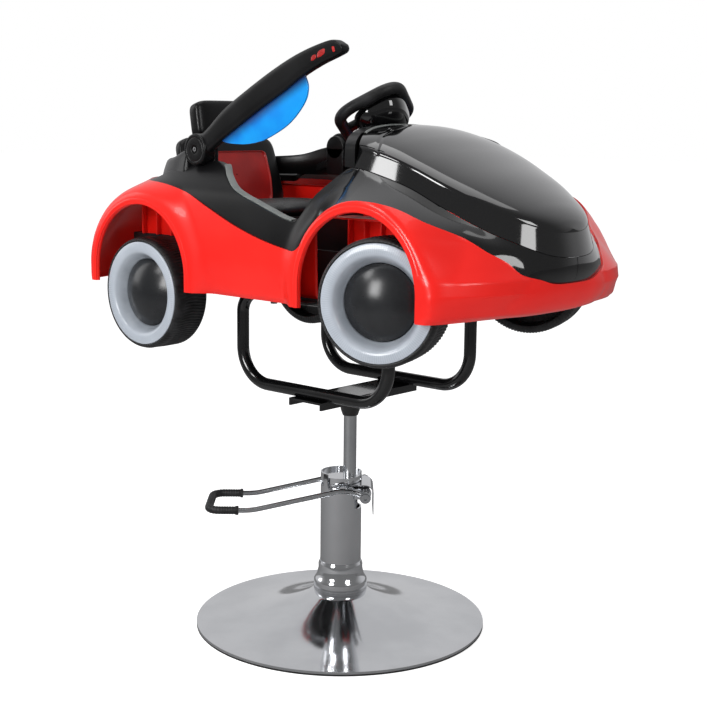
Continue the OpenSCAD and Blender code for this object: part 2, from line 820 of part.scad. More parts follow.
module upper_body() on_car() color("#141414") difference() {
    intersection() {
        body_loft(step_in);
        over_edge(tuck);
        under_deck(0);
    }
    intersection() {
        body_loft(step_in + wall);
        under_deck(wall);
    }
    translate([0, 0, body_z]) linear_extrude(2 * body_h) {
        cabin_plan();
        hood_plan(hood_ledge);
    }
    both_sides() {
        arch_volume(front_arch, arch_r + wall, pan_front_hw, 2 * body_hw);
        arch_volume(front_arch, arch_r + lip_w + seat_gap, lip_in - seat_gap, 2 * body_hw);
        translate([hub_at[0], -deck_in_hw + over, hub_at[1]]) rotate([90, 0, 0])
            cylinder(r = hub_disc_r + hub_clear, h = deck_hw, $fn = fine);
    }
    column_axis() translate([0, 0, -hood_nose]) cylinder(r = column_r2 + wall, h = hood_nose, $fn = fine);
}

module deck_plan(hw, rear, front) intersection() {
    translate([rear + hw, 0]) {
        circle(hw, $fn = fine);
        translate([0, -hw]) square([2 * hw, 2 * hw]);
    }
    translate([rear, -hw]) square([front - rear, 2 * hw]);
}
module deck_ring(hw, rear, z, t) translate([0, 0, z]) linear_extrude(t) deck_plan(hw, rear, deck_front);

module rear_deck() on_car() color("#141414") {
    deck_shell();
    both_sides() {
        hub_ear();
        translate([hub_at[0], hub_disc_w / 2 + ear_gap - arm_y, hub_at[1]])
            rotate([90, 0, 0]) cylinder(r = pin_r, h = hub_disc_w, $fn = fine);
    }
}
module deck_shell() difference() {
    hull() {
        deck_ring(deck_hw, deck_rear, body_z + deck_low * body_h, slice_t);
        deck_ring(deck_top_hw, deck_rear + deck_hw - deck_top_hw, body_z + body_h, slice_t);
    }
    deck_ring(deck_in_hw, deck_rear_in, body_z, 2 * body_h);
    across(4 * body_hw) polygon(concat(
        side_line(deck_rise_shares), [[deck_front + over, 2 * body_z], [deck_rear - over, 2 * body_z]]
    ));
    both_sides() translate([hub_at[0], -deck_in_hw + over, hub_at[1]]) rotate([90, 0, 0])
        cylinder(r = hub_disc_r + hub_clear, h = deck_hw, $fn = fine);
    across(4 * body_hw) polygon([
        [hub_at[0], hub_at[1] - hub_disc_r], [deck_front - deck_chamfer, hub_at[1] - hub_disc_r],
        [deck_front + over, hub_at[1] - 2 * hub_disc_r], [deck_front + over, 2 * body_z],
        [hub_at[0], 2 * body_z]
    ]);
}

module hub_ear() {
    y = arm_y - hub_disc_w / 2 - ear_gap;
    low = body_z + deck_low * body_h + wall;
    translate([0, -y + ear_plate, 0]) rotate([90, 0, 0]) linear_extrude(ear_plate) {
        translate(hub_at) circle(ear_round, $fn = fine);
        translate([hub_at[0] - ear_round, low]) square([2 * ear_round, hub_at[1] - low]);
    }
    translate([hub_at[0] - ear_round / 2, -deck_in_hw - wall, low + wall])
        cube([ear_round, deck_in_hw + wall - y + ear_plate / 2, ear_plate]);
}

module floor_pan() on_car() color("#1c1c1c") difference() {
    sill_hw = layer_shares[0][3] * body_hw - wall;
    union() {
        translate([0, 0, pan_z]) linear_extrude(pan_h) pan_outline(0);
        translate([sill_ends[0], -sill_hw, pan_z])
            cube([sill_ends[1] - sill_ends[0], 2 * sill_hw, pan_t]);
        for (side = [-1, 1]) translate([rear_x, side * bracket_y, 0]) {
            translate([-2 * axle_r, -axle_r, rear_z])
                cube([4 * axle_r, 2 * axle_r, pan_z + pan_t - rear_z]);
            across(2 * axle_r) translate([0, rear_z]) circle(2 * axle_r, $fn = coarse);
        }
    }
    translate([0, 0, pan_z + pan_t]) linear_extrude(pan_h) pan_outline(pan_t);
    translate([rear_x, 0, rear_z]) across(4 * body_hw) circle(axle_r, $fn = coarse);
    translate([kingpin_x - beam_w / 2 - over, -body_hw, front_z - sleeve_h / 2 - over])
        cube([beam_w + 2 * over, 2 * body_hw, sleeve_h + 2 * over]);
    for (side = [-1, 1])
        translate([kingpin_x - arm_back * 1.6, side * pan_front_hw - 2 * pan_t, pan_z + pan_t])
            cube([arm_back * 1.3, 4 * pan_t, sleeve_h]);
    for (side = [-1, 1], x = bolt_x) translate([x, side * loop_gap / 2, pan_z - over])
        cylinder(r = bolt_shank_r, h = pan_t + 2 * over, $fn = coarse);
}

module pan_outline(inset) polygon([
    [pan_rear + inset, -pan_hw + inset], [pan_step - inset, -pan_hw + inset],
    [pan_step - inset, -pan_front_hw + inset], [kingpin_x + arm_back, -pan_front_hw + inset],
    [pan_front - inset, -pan_front_hw / 2], [pan_front - inset, pan_front_hw / 2],
    [kingpin_x + arm_back, pan_front_hw - inset], [pan_step - inset, pan_front_hw - inset],
    [pan_step - inset, pan_hw - inset], [pan_rear + inset, pan_hw - inset]
]);

// Hood
function hood_at(i) =
    let (t = i / hood_slices, share = sin(90 * t), n = len(hood_shares) - 1)
    concat(hood_back + (hood_nose - hood_back) * share,
        [for (k = [1 : 3]) lookup(share, [for (s = hood_shares) [s[0], s[k]]])]);
function hood_width(x) = let (t = max(0, x - hood_join) / (hood_nose - hood_join))
    hood_hw * pow(max(0, 1 - pow(t, hood_power)), 1 / hood_power);
function hood_section(s, inset) =
    let (
        b = max(hood_width(s[0]), wall) - inset,
        zc = body_z + s[2] * body_h,
        zt = body_z + s[3] * body_h - inset
    )
    concat(
        [[-b, body_z + s[1] * body_h], [b, body_z + s[1] * body_h]],
        [for (j = [0 : hood_arc]) let (t = 180 * j / hood_arc) [b * cos(t), zc + (zt - zc) * sin(t)]]
    );
module slice_at(x) translate([x, 0, 0]) rotate([90, 0, 90]) linear_extrude(slice_t) children();
module hood_loft(inset, last) for (i = [0 : last]) hull() for (k = [i, i + 1])
    slice_at(hood_at(k)[0]) polygon(hood_section(hood_at(k), inset));

function back_edge(y) = hood_back + back_sag * pow(y / hood_hw, 2);
module behind_edge(shift) translate([0, 0, body_z]) linear_extrude(2 * body_h) polygon(concat(
    [for (i = [-hood_arc : hood_arc])
        let (y = 1.1 * hood_hw * i / hood_arc) [back_edge(y) + shift, y]],
    [[hood_back - hood_hw, 1.1 * hood_hw], [hood_back - hood_hw, -1.1 * hood_hw]]
));

module hood() on_car() color("#101010") difference() {
    hood_loft(0, hood_slices - 1);
    behind_edge(0);
    translate([-over, 0, -wall]) hood_loft(wall, hood_slices - 3);
}

// Dash behind the hood
module dash() on_car() color("#161616") difference() {
    intersection() {
        translate([hood_back - dash_t, 0, 0]) rotate([90, 0, 90]) linear_extrude(dash_t + back_sag)
            polygon(hood_section(hood_at(0), 0));
        behind_edge(0);
    }
    behind_edge(-dash_t);
    column_axis() translate([0, 0, -hood_nose])
        cylinder(r = column_r2 + dash_clear, h = hood_nose, $fn = fine);
}

module sill_trims() on_car() color("#8c9196") both_sides() {
    line = side_line([for (i = [3 : 7]) deck_shares[i]]);
    for (i = [0 : len(line) - 2]) hull() for (p = [line[i], line[i + 1]])
        translate([p[0], body_hw * 0.93 - trim_w, p[1]]) cube([slice_t, trim_w, trim_h]);
}

// Seat
module seat_base() on_car() color("#1a1a1a") translate([seat_x[0], 0, pan_z + pan_t]) difference() {
    len_x = seat_x[1] - seat_x[0];
    translate([0, -seat_hw, 0]) cube([len_x, 2 * seat_hw, seat_top - pan_z - pan_t]);
    translate([wall, -seat_hw + wall, -over])
        cube([len_x - 2 * wall, 2 * (seat_hw - wall), seat_top - pan_z - pan_t - wall + over]);
}
module seat_pad() on_car() color("#202020") translate([back_foot + seat_gap, 0, seat_top]) hull() {
    for (k = pad_shares) translate([k[1] * pad_h, (k[1] * pad_h) - pad_hw, k[0] * (pad_h - slice_t)])
        cube([
            seat_x[1] - back_foot - seat_gap - 2 * k[1] * pad_h, 2 * (pad_hw - k[1] * pad_h), slice_t
        ]);
}
module on_back() translate([back_foot, 0, seat_top + back_t * sin(back_lean)])
    rotate([0, -back_lean, 0]) children();
module rounded_slab(t, hw, h, r) rotate([90, 0, 90]) linear_extrude(t) hull() {
    for (y = [-hw + r, hw - r]) translate([y, h - r]) circle(r, $fn = coarse);
    translate([-hw, 0]) square([2 * hw, r]);
}
module seat_back() on_car() color("#181818") on_back() translate([-back_t, 0, 0])
    rounded_slab(back_t, back_hw, back_h, back_t);
module back_pad() on_car() color("firebrick") on_back() translate([0, 0, (back_h - insert_h) / 2])
    rounded_slab(insert_t, insert_hw, insert_h, insert_t);
module headrest() on_car() color("#181818") on_back() translate([-back_t, 0, back_h])
    rounded_slab(rest_t, rest_hw, rest_h, rest_t / 2);

// Steering
module column_axis() translate(wheel_at) rotate([0, column_slope - 90, 0]) children();
module steering_wheel() on_car() color("#151515") column_axis() rotate([0, 0, wheel_rest]) difference() {
    union() {
        rim_path(grip_r);
        cylinder(r = wheel_hub_r, h = wheel_hub_h, center = true, $fn = fine);
        translate([-grip_r, -wheel_w / 2 + grip_r, -grip_r / 2])
            cube([2 * grip_r, wheel_w - 2 * grip_r, grip_r]);
        translate([-wheel_h / 2 + grip_r, -grip_r, -grip_r / 2])
            cube([wheel_h / 2, 2 * grip_r, grip_r]);
    }
    translate([0, 0, wheel_hub_h / 2 - horn_h])
        cylinder(r = horn_r + horn_gap, h = wheel_hub_h, $fn = fine);
    translate([0, 0, -wheel_hub_h]) cylinder(r = column_r2, h = wheel_hub_h / 2 + horn_h, $fn = fine);
}
module rim_path(r) {
    hx = wheel_h / 2 - r;
    hy = wheel_w / 2 - r;
    for (sx = [-1, 1]) translate([sx * hx, -hy + wheel_corner, 0]) rotate([-90, 0, 0])
        cylinder(r = r, h = 2 * (hy - wheel_corner), $fn = coarse);
    for (sy = [-1, 1]) translate([-hx + wheel_corner, sy * hy, 0]) rotate([0, 90, 0])
        cylinder(r = r, h = 2 * (hx - wheel_corner), $fn = coarse);
    for (q = [0 : 3]) translate([(q == 0 || q == 3 ? 1 : -1) * (hx - wheel_corner),
        (q < 2 ? 1 : -1) * (hy - wheel_corner), 0]) rotate([0, 0, 90 * q]) elbow(wheel_corner, 90, r);
}
module wheel_shell() on_car() color("#151515") column_axis() rotate([0, 0, wheel_rest])
    translate([0, 0, -wheel_hub_h / 2]) difference() {
        mirror([0, 0, 1]) cylinder(r1 = wheel_hub_r * 1.5, r2 = wheel_hub_r, h = wheel_hub_r, $fn = fine);
        translate([0, 0, -wheel_hub_r - over]) cylinder(r = column_r2, h = 2 * wheel_hub_r, $fn = fine);
    }
module horn_button() on_car() color("dimgray") column_axis()
    translate([0, 0, wheel_hub_h / 2 - horn_h + horn_travel + horn_gap])
        cylinder(r = horn_r, h = horn_h, $fn = fine);
module steering_shaft() on_car() color("gray") column_axis() {
    drop = (wheel_at[2] - column_foot) / sin(column_slope);
    translate([0, 0, -drop]) cylinder(r = column_r2, h = drop - wheel_hub_h / 2 + horn_h, $fn = fine);
}

// Axles and steering gear
module at_kingpin(side) translate([kingpin_x, side * kingpin_y, front_z])
    rotate([0, 0, steer_rest]) children();
module front_axle() on_car() color("#222222") difference() {
    drop = (wheel_at[2] - column_foot) / sin(column_slope);
    union() {
        translate([kingpin_x - beam_w / 2, -kingpin_y, front_z - sleeve_h / 2])
            cube([beam_w, 2 * kingpin_y, sleeve_h]);
        for (side = [-1, 1]) translate([kingpin_x, side * kingpin_y, front_z - sleeve_h / 2])
            cylinder(r = sleeve_out_r, h = sleeve_h, $fn = fine);
        column_axis() translate([0, 0, -drop - axle_r])
            cylinder(r = sleeve_out_r, h = sleeve_h, $fn = fine);
        translate([kingpin_x - beam_w * 1.5, -sleeve_out_r / 2, front_z - sleeve_h / 2])
            cube([beam_w * 1.5, sleeve_out_r, column_foot - front_z + sleeve_h / 2]);
    }
    for (side = [-1, 1]) translate([kingpin_x, side * kingpin_y, front_z - sleeve_h])
        cylinder(r = kingpin_r + fit, h = 2 * sleeve_h, $fn = fine);
    column_axis() translate([0, 0, -drop - horn_gap])
        cylinder(r = column_r2 + fit, h = drop, $fn = fine);
}
stub_end = face_reach - ring_depth - axle_gap;
module knuckle(side) on_car() color("gray") at_kingpin(side) scale([1, side, 1]) difference() {
    union() {
        translate([0, 0, -sleeve_h / 2 - knuckle_gap - knuckle_t])
            cylinder(r = kingpin_r, h = sleeve_h + 2 * (knuckle_gap + knuckle_t), $fn = fine);
        for (z = [-sleeve_h / 2 - knuckle_gap - knuckle_t, sleeve_h / 2 + knuckle_gap])
            translate([-sleeve_out_r, -sleeve_out_r, z])
                cube([2 * sleeve_out_r, sleeve_out_r + knuckle_out, knuckle_t]);
        translate([-sleeve_out_r, knuckle_out - knuckle_t, -sleeve_h / 2 - knuckle_gap])
            cube([2 * sleeve_out_r, knuckle_t, sleeve_h + 2 * knuckle_gap]);
        translate([0, knuckle_out - knuckle_t, 0]) rotate([-90, 0, 0])
            cylinder(r = axle_r, h = stub_end - knuckle_out + knuckle_t, $fn = fine);
        translate([-arm_back, -tie_w / 2, -sleeve_h / 2 - knuckle_gap - knuckle_t])
            cube([arm_back, tie_w, knuckle_t]);
        translate([-arm_back, 0, -sleeve_h / 2 - knuckle_gap - knuckle_t])
            cylinder(r = rod_pin_r, h = knuckle_t + rod_pin_h, $fn = coarse);
    }
}
module knuckle_right() knuckle(-1);
module knuckle_left() knuckle(1);
module tie_rod() on_car() color("gray") {
    z = front_z - sleeve_h / 2;
    ends = [for (side = [-1, 1])
        [kingpin_x - arm_back * cos(steer_rest), side * kingpin_y - arm_back * sin(steer_rest)]];
    translate([0, 0, z]) difference() {
        union() {
            for (e = ends) translate(e) cylinder(r = tie_eye_r, h = tie_h, $fn = coarse);
            translate([ends[0][0] - tie_w / 2, ends[0][1], 0])
                cube([tie_w, ends[1][1] - ends[0][1], tie_h]);
        }
        for (e = ends) translate([e[0], e[1], -over])
            cylinder(r = rod_pin_r + rod_bore_gap, h = tie_h + 2 * over, $fn = coarse);
    }
}
module rear_axle() on_car() color("gray") translate([rear_x, 0, rear_z])
    across(2 * (rear_face - ring_depth - axle_gap)) circle(axle_r, $fn = fine);

// Wheels: local +Z points outward, z = 0 at the outer face
module tyre_form() color("#1b1b1b") rotate_extrude($fn = 2 * fine) {
    difference() {
        polygon([
            [axle_r + fit, -tyre_w], [hub_core_r, -tyre_w], [hub_core_r, -tyre_w + hub_hollow],
            [tyre_r - 2 * tyre_edge, -tyre_w + hub_hollow], [tyre_r - 2 * tyre_edge, -tyre_w],
            [tyre_r - tyre_edge, -tyre_w], [tyre_r, -tyre_w + tyre_edge], [tyre_r, -tyre_edge],
            [ring_r, 0], [ring_r, -ring_depth], [axle_r + fit, -ring_depth]
        ]);
        for (i = [1 : grooves])
            translate([tyre_r - tread_depth, -tyre_w * i / (grooves + 1) - groove_w / 2])
                square([2 * tread_depth, groove_w]);
    }
}
module ring_form() color("#cfd6de") rotate_extrude($fn = 2 * fine) polygon([
    [cap_r, -ring_depth], [ring_r, -ring_depth], [ring_r, 0], [ring_r - ring_dish / 2, ring_dish / 2],
    [ring_r - ring_dish, ring_dish * 0.6], [(cap_r + ring_r) / 2, ring_dish / 2],
    [cap_r + 2 * ring_dish, -ring_dish / 5], [cap_r, -ring_dish]
]);
module cap_form() color("#101010") {
    ball = (cap_r * cap_r + cap_bulge * cap_bulge) / (2 * cap_bulge);
    translate([0, 0, -ring_depth]) cylinder(r = cap_r, h = ring_depth - ring_dish, $fn = fine);
    intersection() {
        translate([0, 0, cap_bulge - ball - ring_dish]) sphere(r = ball, $fn = 2 * fine);
        translate([0, 0, -ring_dish]) cylinder(r = cap_r, h = 2 * cap_bulge, $fn = 2 * fine);
    }
}
module at_wheel(front, side) on_car() {
    if (front) at_kingpin(side) translate([0, side * face_reach, 0])
        rotate([-90 * side, 0, 0]) children();
    else translate([rear_x, side * rear_face, rear_z])
        rotate([-90 * side, 0, 0]) children();
}
module tyre_front_right() at_wheel(true, -1) tyre_form();
module tyre_front_left() at_wheel(true, 1) tyre_form();
module tyre_rear_right() at_wheel(false, -1) tyre_form();
module tyre_rear_left() at_wheel(false, 1) tyre_form();
module rings_front_right() at_wheel(true, -1) ring_form();
module rings_front_left() at_wheel(true, 1) ring_form();
module rings_rear_right() at_wheel(false, -1) ring_form();
module rings_rear_left() at_wheel(false, 1) ring_form();
module cap_front_right() at_wheel(true, -1) cap_form();
module cap_front_left() at_wheel(true, 1) cap_form();
module cap_rear_right() at_wheel(false, -1) cap_form();
module cap_rear_left() at_wheel(false, 1) cap_form();

// Door arms
module at_hub(side, turn) translate([hub_at[0], side * arm_y, hub_at[1]])
    rotate([0, -turn, 0]) children();
module door_arm(side, turn) on_car() color("#151515") at_hub(side, turn) difference() {
    union() {
        across(hub_disc_w) circle(hub_disc_r, $fn = fine);
        across(arm_t) polygon(concat(arm_line(arm_top_shares), arm_line(arm_low_shares)));
    }
    across(2 * hub_disc_w) circle(pin_r + fit, $fn = fine);
}
module door_arm_right() door_arm(-1, door_rest);
module door_arm_left() door_arm(1, 0);
module door_window(side, turn) on_car() color("#1588e0") at_hub(side, turn)
    across(window_t) polygon(arm_line(window_shares));
module door_window_right() door_window(-1, door_rest);
module door_window_left() door_window(1, 0);

base_disc();
base_ring();
base_socket();
column_collar();
pump_tube();
pump_head();
pump_cylinder();
pump_cap();
guard_plate();
piston_rod();
plunger();
pump_fork();
pedal_lever();
pedal_sleeve();
pedal_shaft();
pedal_bolts();
swivel_socket();
mount_plate();
cross_plate();
frame_loop_right();
frame_loop_left();
frame_bolts();
lower_body();
upper_body();
floor_pan();
hood();
dash();
sill_trims();
arch_walls();
seat_base();
seat_pad();
seat_back();
back_pad();
headrest();
steering_wheel();
wheel_shell();
horn_button();
steering_shaft();
tie_rod();
knuckle_right();
knuckle_left();
front_axle();
rear_axle();
tyre_front_right();
tyre_front_left();
tyre_rear_right();
tyre_rear_left();
rings_front_right();
rings_front_left();
rings_rear_right();
rings_rear_left();
cap_front_right();
cap_front_left();
cap_rear_right();
cap_rear_left();
door_arm_right();
door_arm_left();
door_window_right();
door_window_left();
rear_deck();
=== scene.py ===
from functools import cache
from math import acos, atan2, copysign, cos, exp, hypot, pi, radians, sin, tan

import bpy
from mathutils import Matrix, Vector


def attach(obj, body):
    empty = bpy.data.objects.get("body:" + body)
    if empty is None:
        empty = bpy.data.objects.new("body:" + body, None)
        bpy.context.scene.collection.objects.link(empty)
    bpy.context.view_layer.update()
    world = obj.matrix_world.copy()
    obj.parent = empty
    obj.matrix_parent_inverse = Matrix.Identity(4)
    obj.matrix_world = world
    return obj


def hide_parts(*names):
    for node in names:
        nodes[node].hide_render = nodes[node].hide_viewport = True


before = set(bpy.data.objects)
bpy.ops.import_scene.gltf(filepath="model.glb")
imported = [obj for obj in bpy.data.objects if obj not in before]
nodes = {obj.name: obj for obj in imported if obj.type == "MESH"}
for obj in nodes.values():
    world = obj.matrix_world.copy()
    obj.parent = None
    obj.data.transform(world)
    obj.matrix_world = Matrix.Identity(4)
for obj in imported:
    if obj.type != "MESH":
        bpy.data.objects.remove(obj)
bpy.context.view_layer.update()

bpy.ops.object.select_all(action="DESELECT")

# Millimetres in the car's own directions, with the nose at +X
MM = 0.001
CAR_OFF = Vector((-10.8, 11.8, 0))
BODY_Z, BODY_H, BODY_HW = 703, 280, 277
REAR_JOIN, FRONT_JOIN, REAR_LEN, FRONT_LEN = -150, 250, 350, 303
ARCHES = ((-297, 731), (288, 745))
ARCH_R, LIP_R, LIP_OUT = 136, 151, 288
CAR_LEN = 1000
# Points closer than this are one point, in metres
MERGE = 0.00002
# Hood: rear edge at its middle, sweep of that edge, tip, start of its taper, half width, squareness
HOOD_BACK, HOOD_SWEEP, HOOD_TIP, HOOD_TAPER, HOOD_HW, HOOD_POWER = 146, 60, 556, 200, 197, 2.35
# Hub of a door arm, its radius and the arm's length
HUB_X, HUB_Y, HUB_Z, HUB_R, ARM_LEN = -195, 210, 978, 29, 432
# Rear end, front end, distance from the middle and top of the ribbed walls inside the arches
ARCH_WALLS = ((-388, -160, 190, 893), (172, 372, 165, 866))
ARCH_CUT = 320
# Half the width of a tyre
TYRE_HALF = 41
# Pedal: place and height of its pivot, half its width, its reach and the start of its flat run
PIVOT_U, PIVOT_Z, PEDAL_HW, PEDAL_REACH, PEDAL_RUN, PEDAL_CORNER = 49, 285, 65, 319, -201, 24
# The pump stands turned towards the camera by this many degrees
PUMP_TURN = 42.431

# Height, rear reach, front reach, half width as shares, then squareness behind and ahead
LAYERS = (
    (0.000, 0.975, 0.850, 0.940, 6.0, 2.4), (0.030, 0.990, 0.930, 0.965, 6.5, 2.5),
    (0.130, 1.000, 0.990, 0.985, 7.0, 2.6), (0.250, 1.000, 1.000, 1.000, 6.5, 2.4),
    (0.360, 0.990, 0.992, 1.000, 5.8, 2.15), (0.460, 0.960, 0.975, 0.995, 5.0, 2.05),
    (0.560, 0.915, 0.940, 0.982, 4.4, 2.0), (0.650, 0.850, 0.900, 0.960, 3.8, 2.0),
    (0.720, 0.810, 0.840, 0.925, 3.0, 2.0), (0.780, 0.800, 0.740, 0.870, 2.6, 2.0),
    (0.850, 0.780, 0.600, 0.795, 2.5, 2.0), (0.910, 0.750, 0.450, 0.725, 2.5, 2.0),
)
# Height, reach, half width and squareness of the front bumper
BUMPER = (
    (703, 250, 400, 2.1), (712, 272, 388, 2.3), (750, 293, 345, 2.7), (773, 294, 335, 2.7),
    (790, 284, 325, 2.6), (834, 262, 290, 2.4), (870, 225, 255, 2.3),
)
# Where red meets black, and the upper line of the black sides: place along the car, height
COLOUR_LINE = (
    (-1.10, 0.760), (-0.70, 0.760), (-0.288, 0.750), (-0.182, 0.693), (-0.113, 0.604),
    (-0.025, 0.486), (0.060, 0.400), (0.131, 0.361), (0.150, 0.386), (0.176, 0.493),
    (0.208, 0.604), (0.243, 0.675), (0.285, 0.708), (0.330, 0.705), (0.374, 0.668),
    (0.418, 0.586), (0.465, 0.482), (0.488, 0.421), (0.513, 0.354), (0.529, 0.286),
    (0.544, 0.246), (0.553, 0.207), (0.60, 0.200),
)
DECK_LINE = (
    (-0.60, 0.70), (-0.332, 0.750), (-0.306, 0.797), (-0.258, 0.846), (-0.220, 0.878),
    (-0.160, 0.895), (-0.127, 0.870), (-0.099, 0.805), (-0.059, 0.728), (-0.025, 0.684),
    (0.013, 0.645), (0.050, 0.605), (0.099, 0.555), (0.131, 0.560), (0.165, 0.745),
    (0.199, 0.900), (0.215, 0.898), (0.279, 0.832), (0.352, 0.750), (0.430, 0.604),
    (0.497, 0.511), (0.531, 0.429), (0.546, 0.368), (0.60, 0.330),
)
DECK_RISE = (
    (-0.441, 0.885), (-0.377, 0.905), (-0.309, 0.925), (-0.257, 0.973), (-0.221, 1.0),
)
# Station, seam, crease and crown of the hood
HOOD = (
    (0.00, 0.900, 1.016, 1.171), (0.15, 0.900, 1.005, 1.165), (0.30, 0.855, 0.965, 1.105),
    (0.45, 0.785, 0.895, 1.015), (0.58, 0.690, 0.810, 0.930), (0.70, 0.600, 0.730, 0.850),
    (0.80, 0.525, 0.655, 0.775), (0.88, 0.470, 0.605, 0.710), (0.94, 0.420, 0.565, 0.655),
    (0.98, 0.385, 0.535, 0.600), (1.00, 0.372, 0.520, 0.545),
)
# Door arm and window: reach as shares of the arm's length, height as shares of its hub
ARM_TOP = (
    (0.00, 0.95), (0.07, 0.75), (0.235, 1.22), (0.40, 1.38), (0.61, 1.42), (0.77, 1.26),
    (0.92, 0.84), (0.975, 0.50), (1.00, 0.00),
)
ARM_LOW = (
    (0.00, -0.70), (0.17, -0.46), (0.29, -0.36), (0.46, -0.25), (0.61, -0.24), (0.73, -0.14),
    (0.85, -0.22), (0.965, -0.44), (0.99, -0.42), (1.00, -0.20),
)
WINDOW = (
    (0.735, -0.08), (0.61, -0.16), (0.46, -0.18), (0.29, -0.28), (0.17, -0.40), (0.170, -0.66),
    (0.215, -1.10), (0.30, -1.72), (0.39, -2.12), (0.48, -2.24), (0.56, -2.22), (0.635, -1.98),
    (0.705, -1.52), (0.74, -0.90), (0.745, -0.30),
)


# Shapes
def car(x, y, z):
    return (Vector((x, y, z)) + CAR_OFF) * MM


def mm(x, y, z):
    return Vector((x, y, z)) * MM


def moved(x, y, z):
    return Matrix.Translation(mm(x, y, z))


def turned(degrees, axis):
    return Matrix.Rotation(radians(degrees), 4, axis)


def smooth(rows, at):
    """The row at one place of a table, on a smooth curve through its rows."""
    if at <= rows[0][0]:
        return rows[0][1:]
    if at >= rows[-1][0]:
        return rows[-1][1:]
    k = next(i for i in range(len(rows) - 1) if at <= rows[i + 1][0])
    a, b = rows[k], rows[k + 1]
    before, after = rows[max(k - 1, 0)], rows[min(k + 2, len(rows) - 1)]
    width = b[0] - a[0]
    t = (at - a[0]) / width
    enter, leave = width / (b[0] - before[0]), width / (after[0] - a[0])
    return [
        p * (1 + 2 * t) * (1 - t) ** 2 + (q - o) * enter * t * (1 - t) ** 2
        + q * t * t * (3 - 2 * t) - (r - p) * leave * t * t * (1 - t)
        for o, p, q, r in list(zip(before, a, b, after))[1:]
    ]


def straight(rows, at):
    """The row at one place of a table, on straight lines between its rows."""
    if at <= rows[0][0]:
        return rows[0][1:]
    for a, b in zip(rows, rows[1:]):
        if at <= b[0]:
            t = (at - a[0]) / (b[0] - a[0])
            return [p + (q - p) * t for p, q in zip(a[1:], b[1:])]
    return rows[-1][1:]


def ease(value, low, high):
    """0 below low, 1 above high, smooth between."""
    t = min(max((value - low) / (high - low), 0), 1)
    return t * t * (3 - 2 * t)


def squarish(turn, power):
    """Cosine and sine of a turn, for a superellipse in place of a circle."""
    return [copysign(abs(k) ** (2 / power), k) for k in (cos(turn), sin(turn))]


def pick(piece):
    bpy.ops.object.select_all(action="DESELECT")
    piece.select_set(True)
    bpy.context.view_layer.objects.active = piece


def shade(piece, angle):
    """Rounds the shading, but not over edges sharper than the angle."""
    pick(piece)
    bpy.ops.object.shade_smooth_by_angle(angle=radians(angle))
    return piece


def tidy(piece, angle=40, fill=False):
    """Merges doubles, fills open ends if asked, turns faces outward and rounds the shading."""
    pick(piece)
    bpy.ops.object.mode_set(mode="EDIT")
    bpy.ops.mesh.select_all(action="SELECT")
    bpy.ops.mesh.remove_doubles(threshold=MERGE)
    if fill:
        bpy.ops.mesh.select_all(action="DESELECT")
        bpy.ops.mesh.select_non_manifold()
        bpy.ops.mesh.edge_face_add()
        bpy.ops.mesh.select_all(action="SELECT")
    bpy.ops.mesh.normals_make_consistent(inside=False)
    bpy.ops.object.mode_set(mode="OBJECT")
    return shade(piece, angle)


def change(piece, kind, **settings):
    """Adds a modifier and applies it."""
    step = piece.modifiers.new(kind, kind)
    for name, value in settings.items():
        setattr(step, name, value)
    pick(piece)
    bpy.ops.object.modifier_apply(modifier=step.name)


def surface(name, place, across, along):
    """A grid whose vertices go where place(u, v) says, u and v from 0 to 1."""
    bpy.ops.mesh.primitive_grid_add(x_subdivisions=across, y_subdivisions=along, size=2)
    piece = bpy.context.object
    piece.name = name
    for vertex in piece.data.vertices:
        u = round((vertex.co.x + 1) / 2 * across) / across
        v = round((vertex.co.y + 1) / 2 * along) / along
        vertex.co = place(u, v)
    return piece


def join(name, *parts):
    pick(parts[0])
    for part in parts:
        part.select_set(True)
    bpy.ops.object.join()
    parts[0].name = name
    return parts[0]


def rounded(points, radius, steps=4):
    """A line of points with its inner corners rounded."""
    line = [Vector(points[0])]
    for before, corner, after in zip(points, points[1:], points[2:]):
        before, corner, after = Vector(before), Vector(corner), Vector(after)
        start = corner + (before - corner).normalized() * min(radius, (before - corner).length / 2)
        end = corner + (after - corner).normalized() * min(radius, (after - corner).length / 2)
        for i in range(steps + 1):
            t = i / steps
            line.append(start * (1 - t) ** 2 + corner * 2 * t * (1 - t) + end * t * t)
    line.append(Vector(points[-1]))
    return line


def lathe(name, profile, matrix, steps=96, relief=None):
    """Turns a profile of (radius, height) points about the matrix's Z."""
    rows = len(profile) - 1

    def place(u, v):
        r, z = profile[round(v * rows)]
        r += relief(u, r, z) if relief else 0
        turn = 2 * pi * u
        return matrix @ mm(r * cos(turn), r * sin(turn), z)

    return tidy(surface(name, place, steps, rows))


def tube(name, line, radius, matrix, sides=24, ridges=None):
    """A rod along a line of points, in millimetres in the matrix's space."""
    rows = len(line) - 1
    end_share = 0.98
    frames = []
    side = None
    for i, point in enumerate(line):
        ahead = (Vector(line[min(i + 1, rows)]) - Vector(line[max(i - 1, 0)])).normalized()
        side = side or ahead.orthogonal()
        side = (side - ahead * side.dot(ahead)).normalized()
        frames.append((Vector(point), side, ahead.cross(side)))

    def place(u, v):
        i = round(v * rows)
        point, x, y = frames[i]
        r = radius + (ridges(i) if ridges else 0)
        if i in (0, rows):
            r *= end_share
        turn = 2 * pi * u
        return matrix @ ((point + (x * cos(turn) + y * sin(turn)) * r) * MM)

    return tidy(surface(name, place, sides, rows), fill=True)


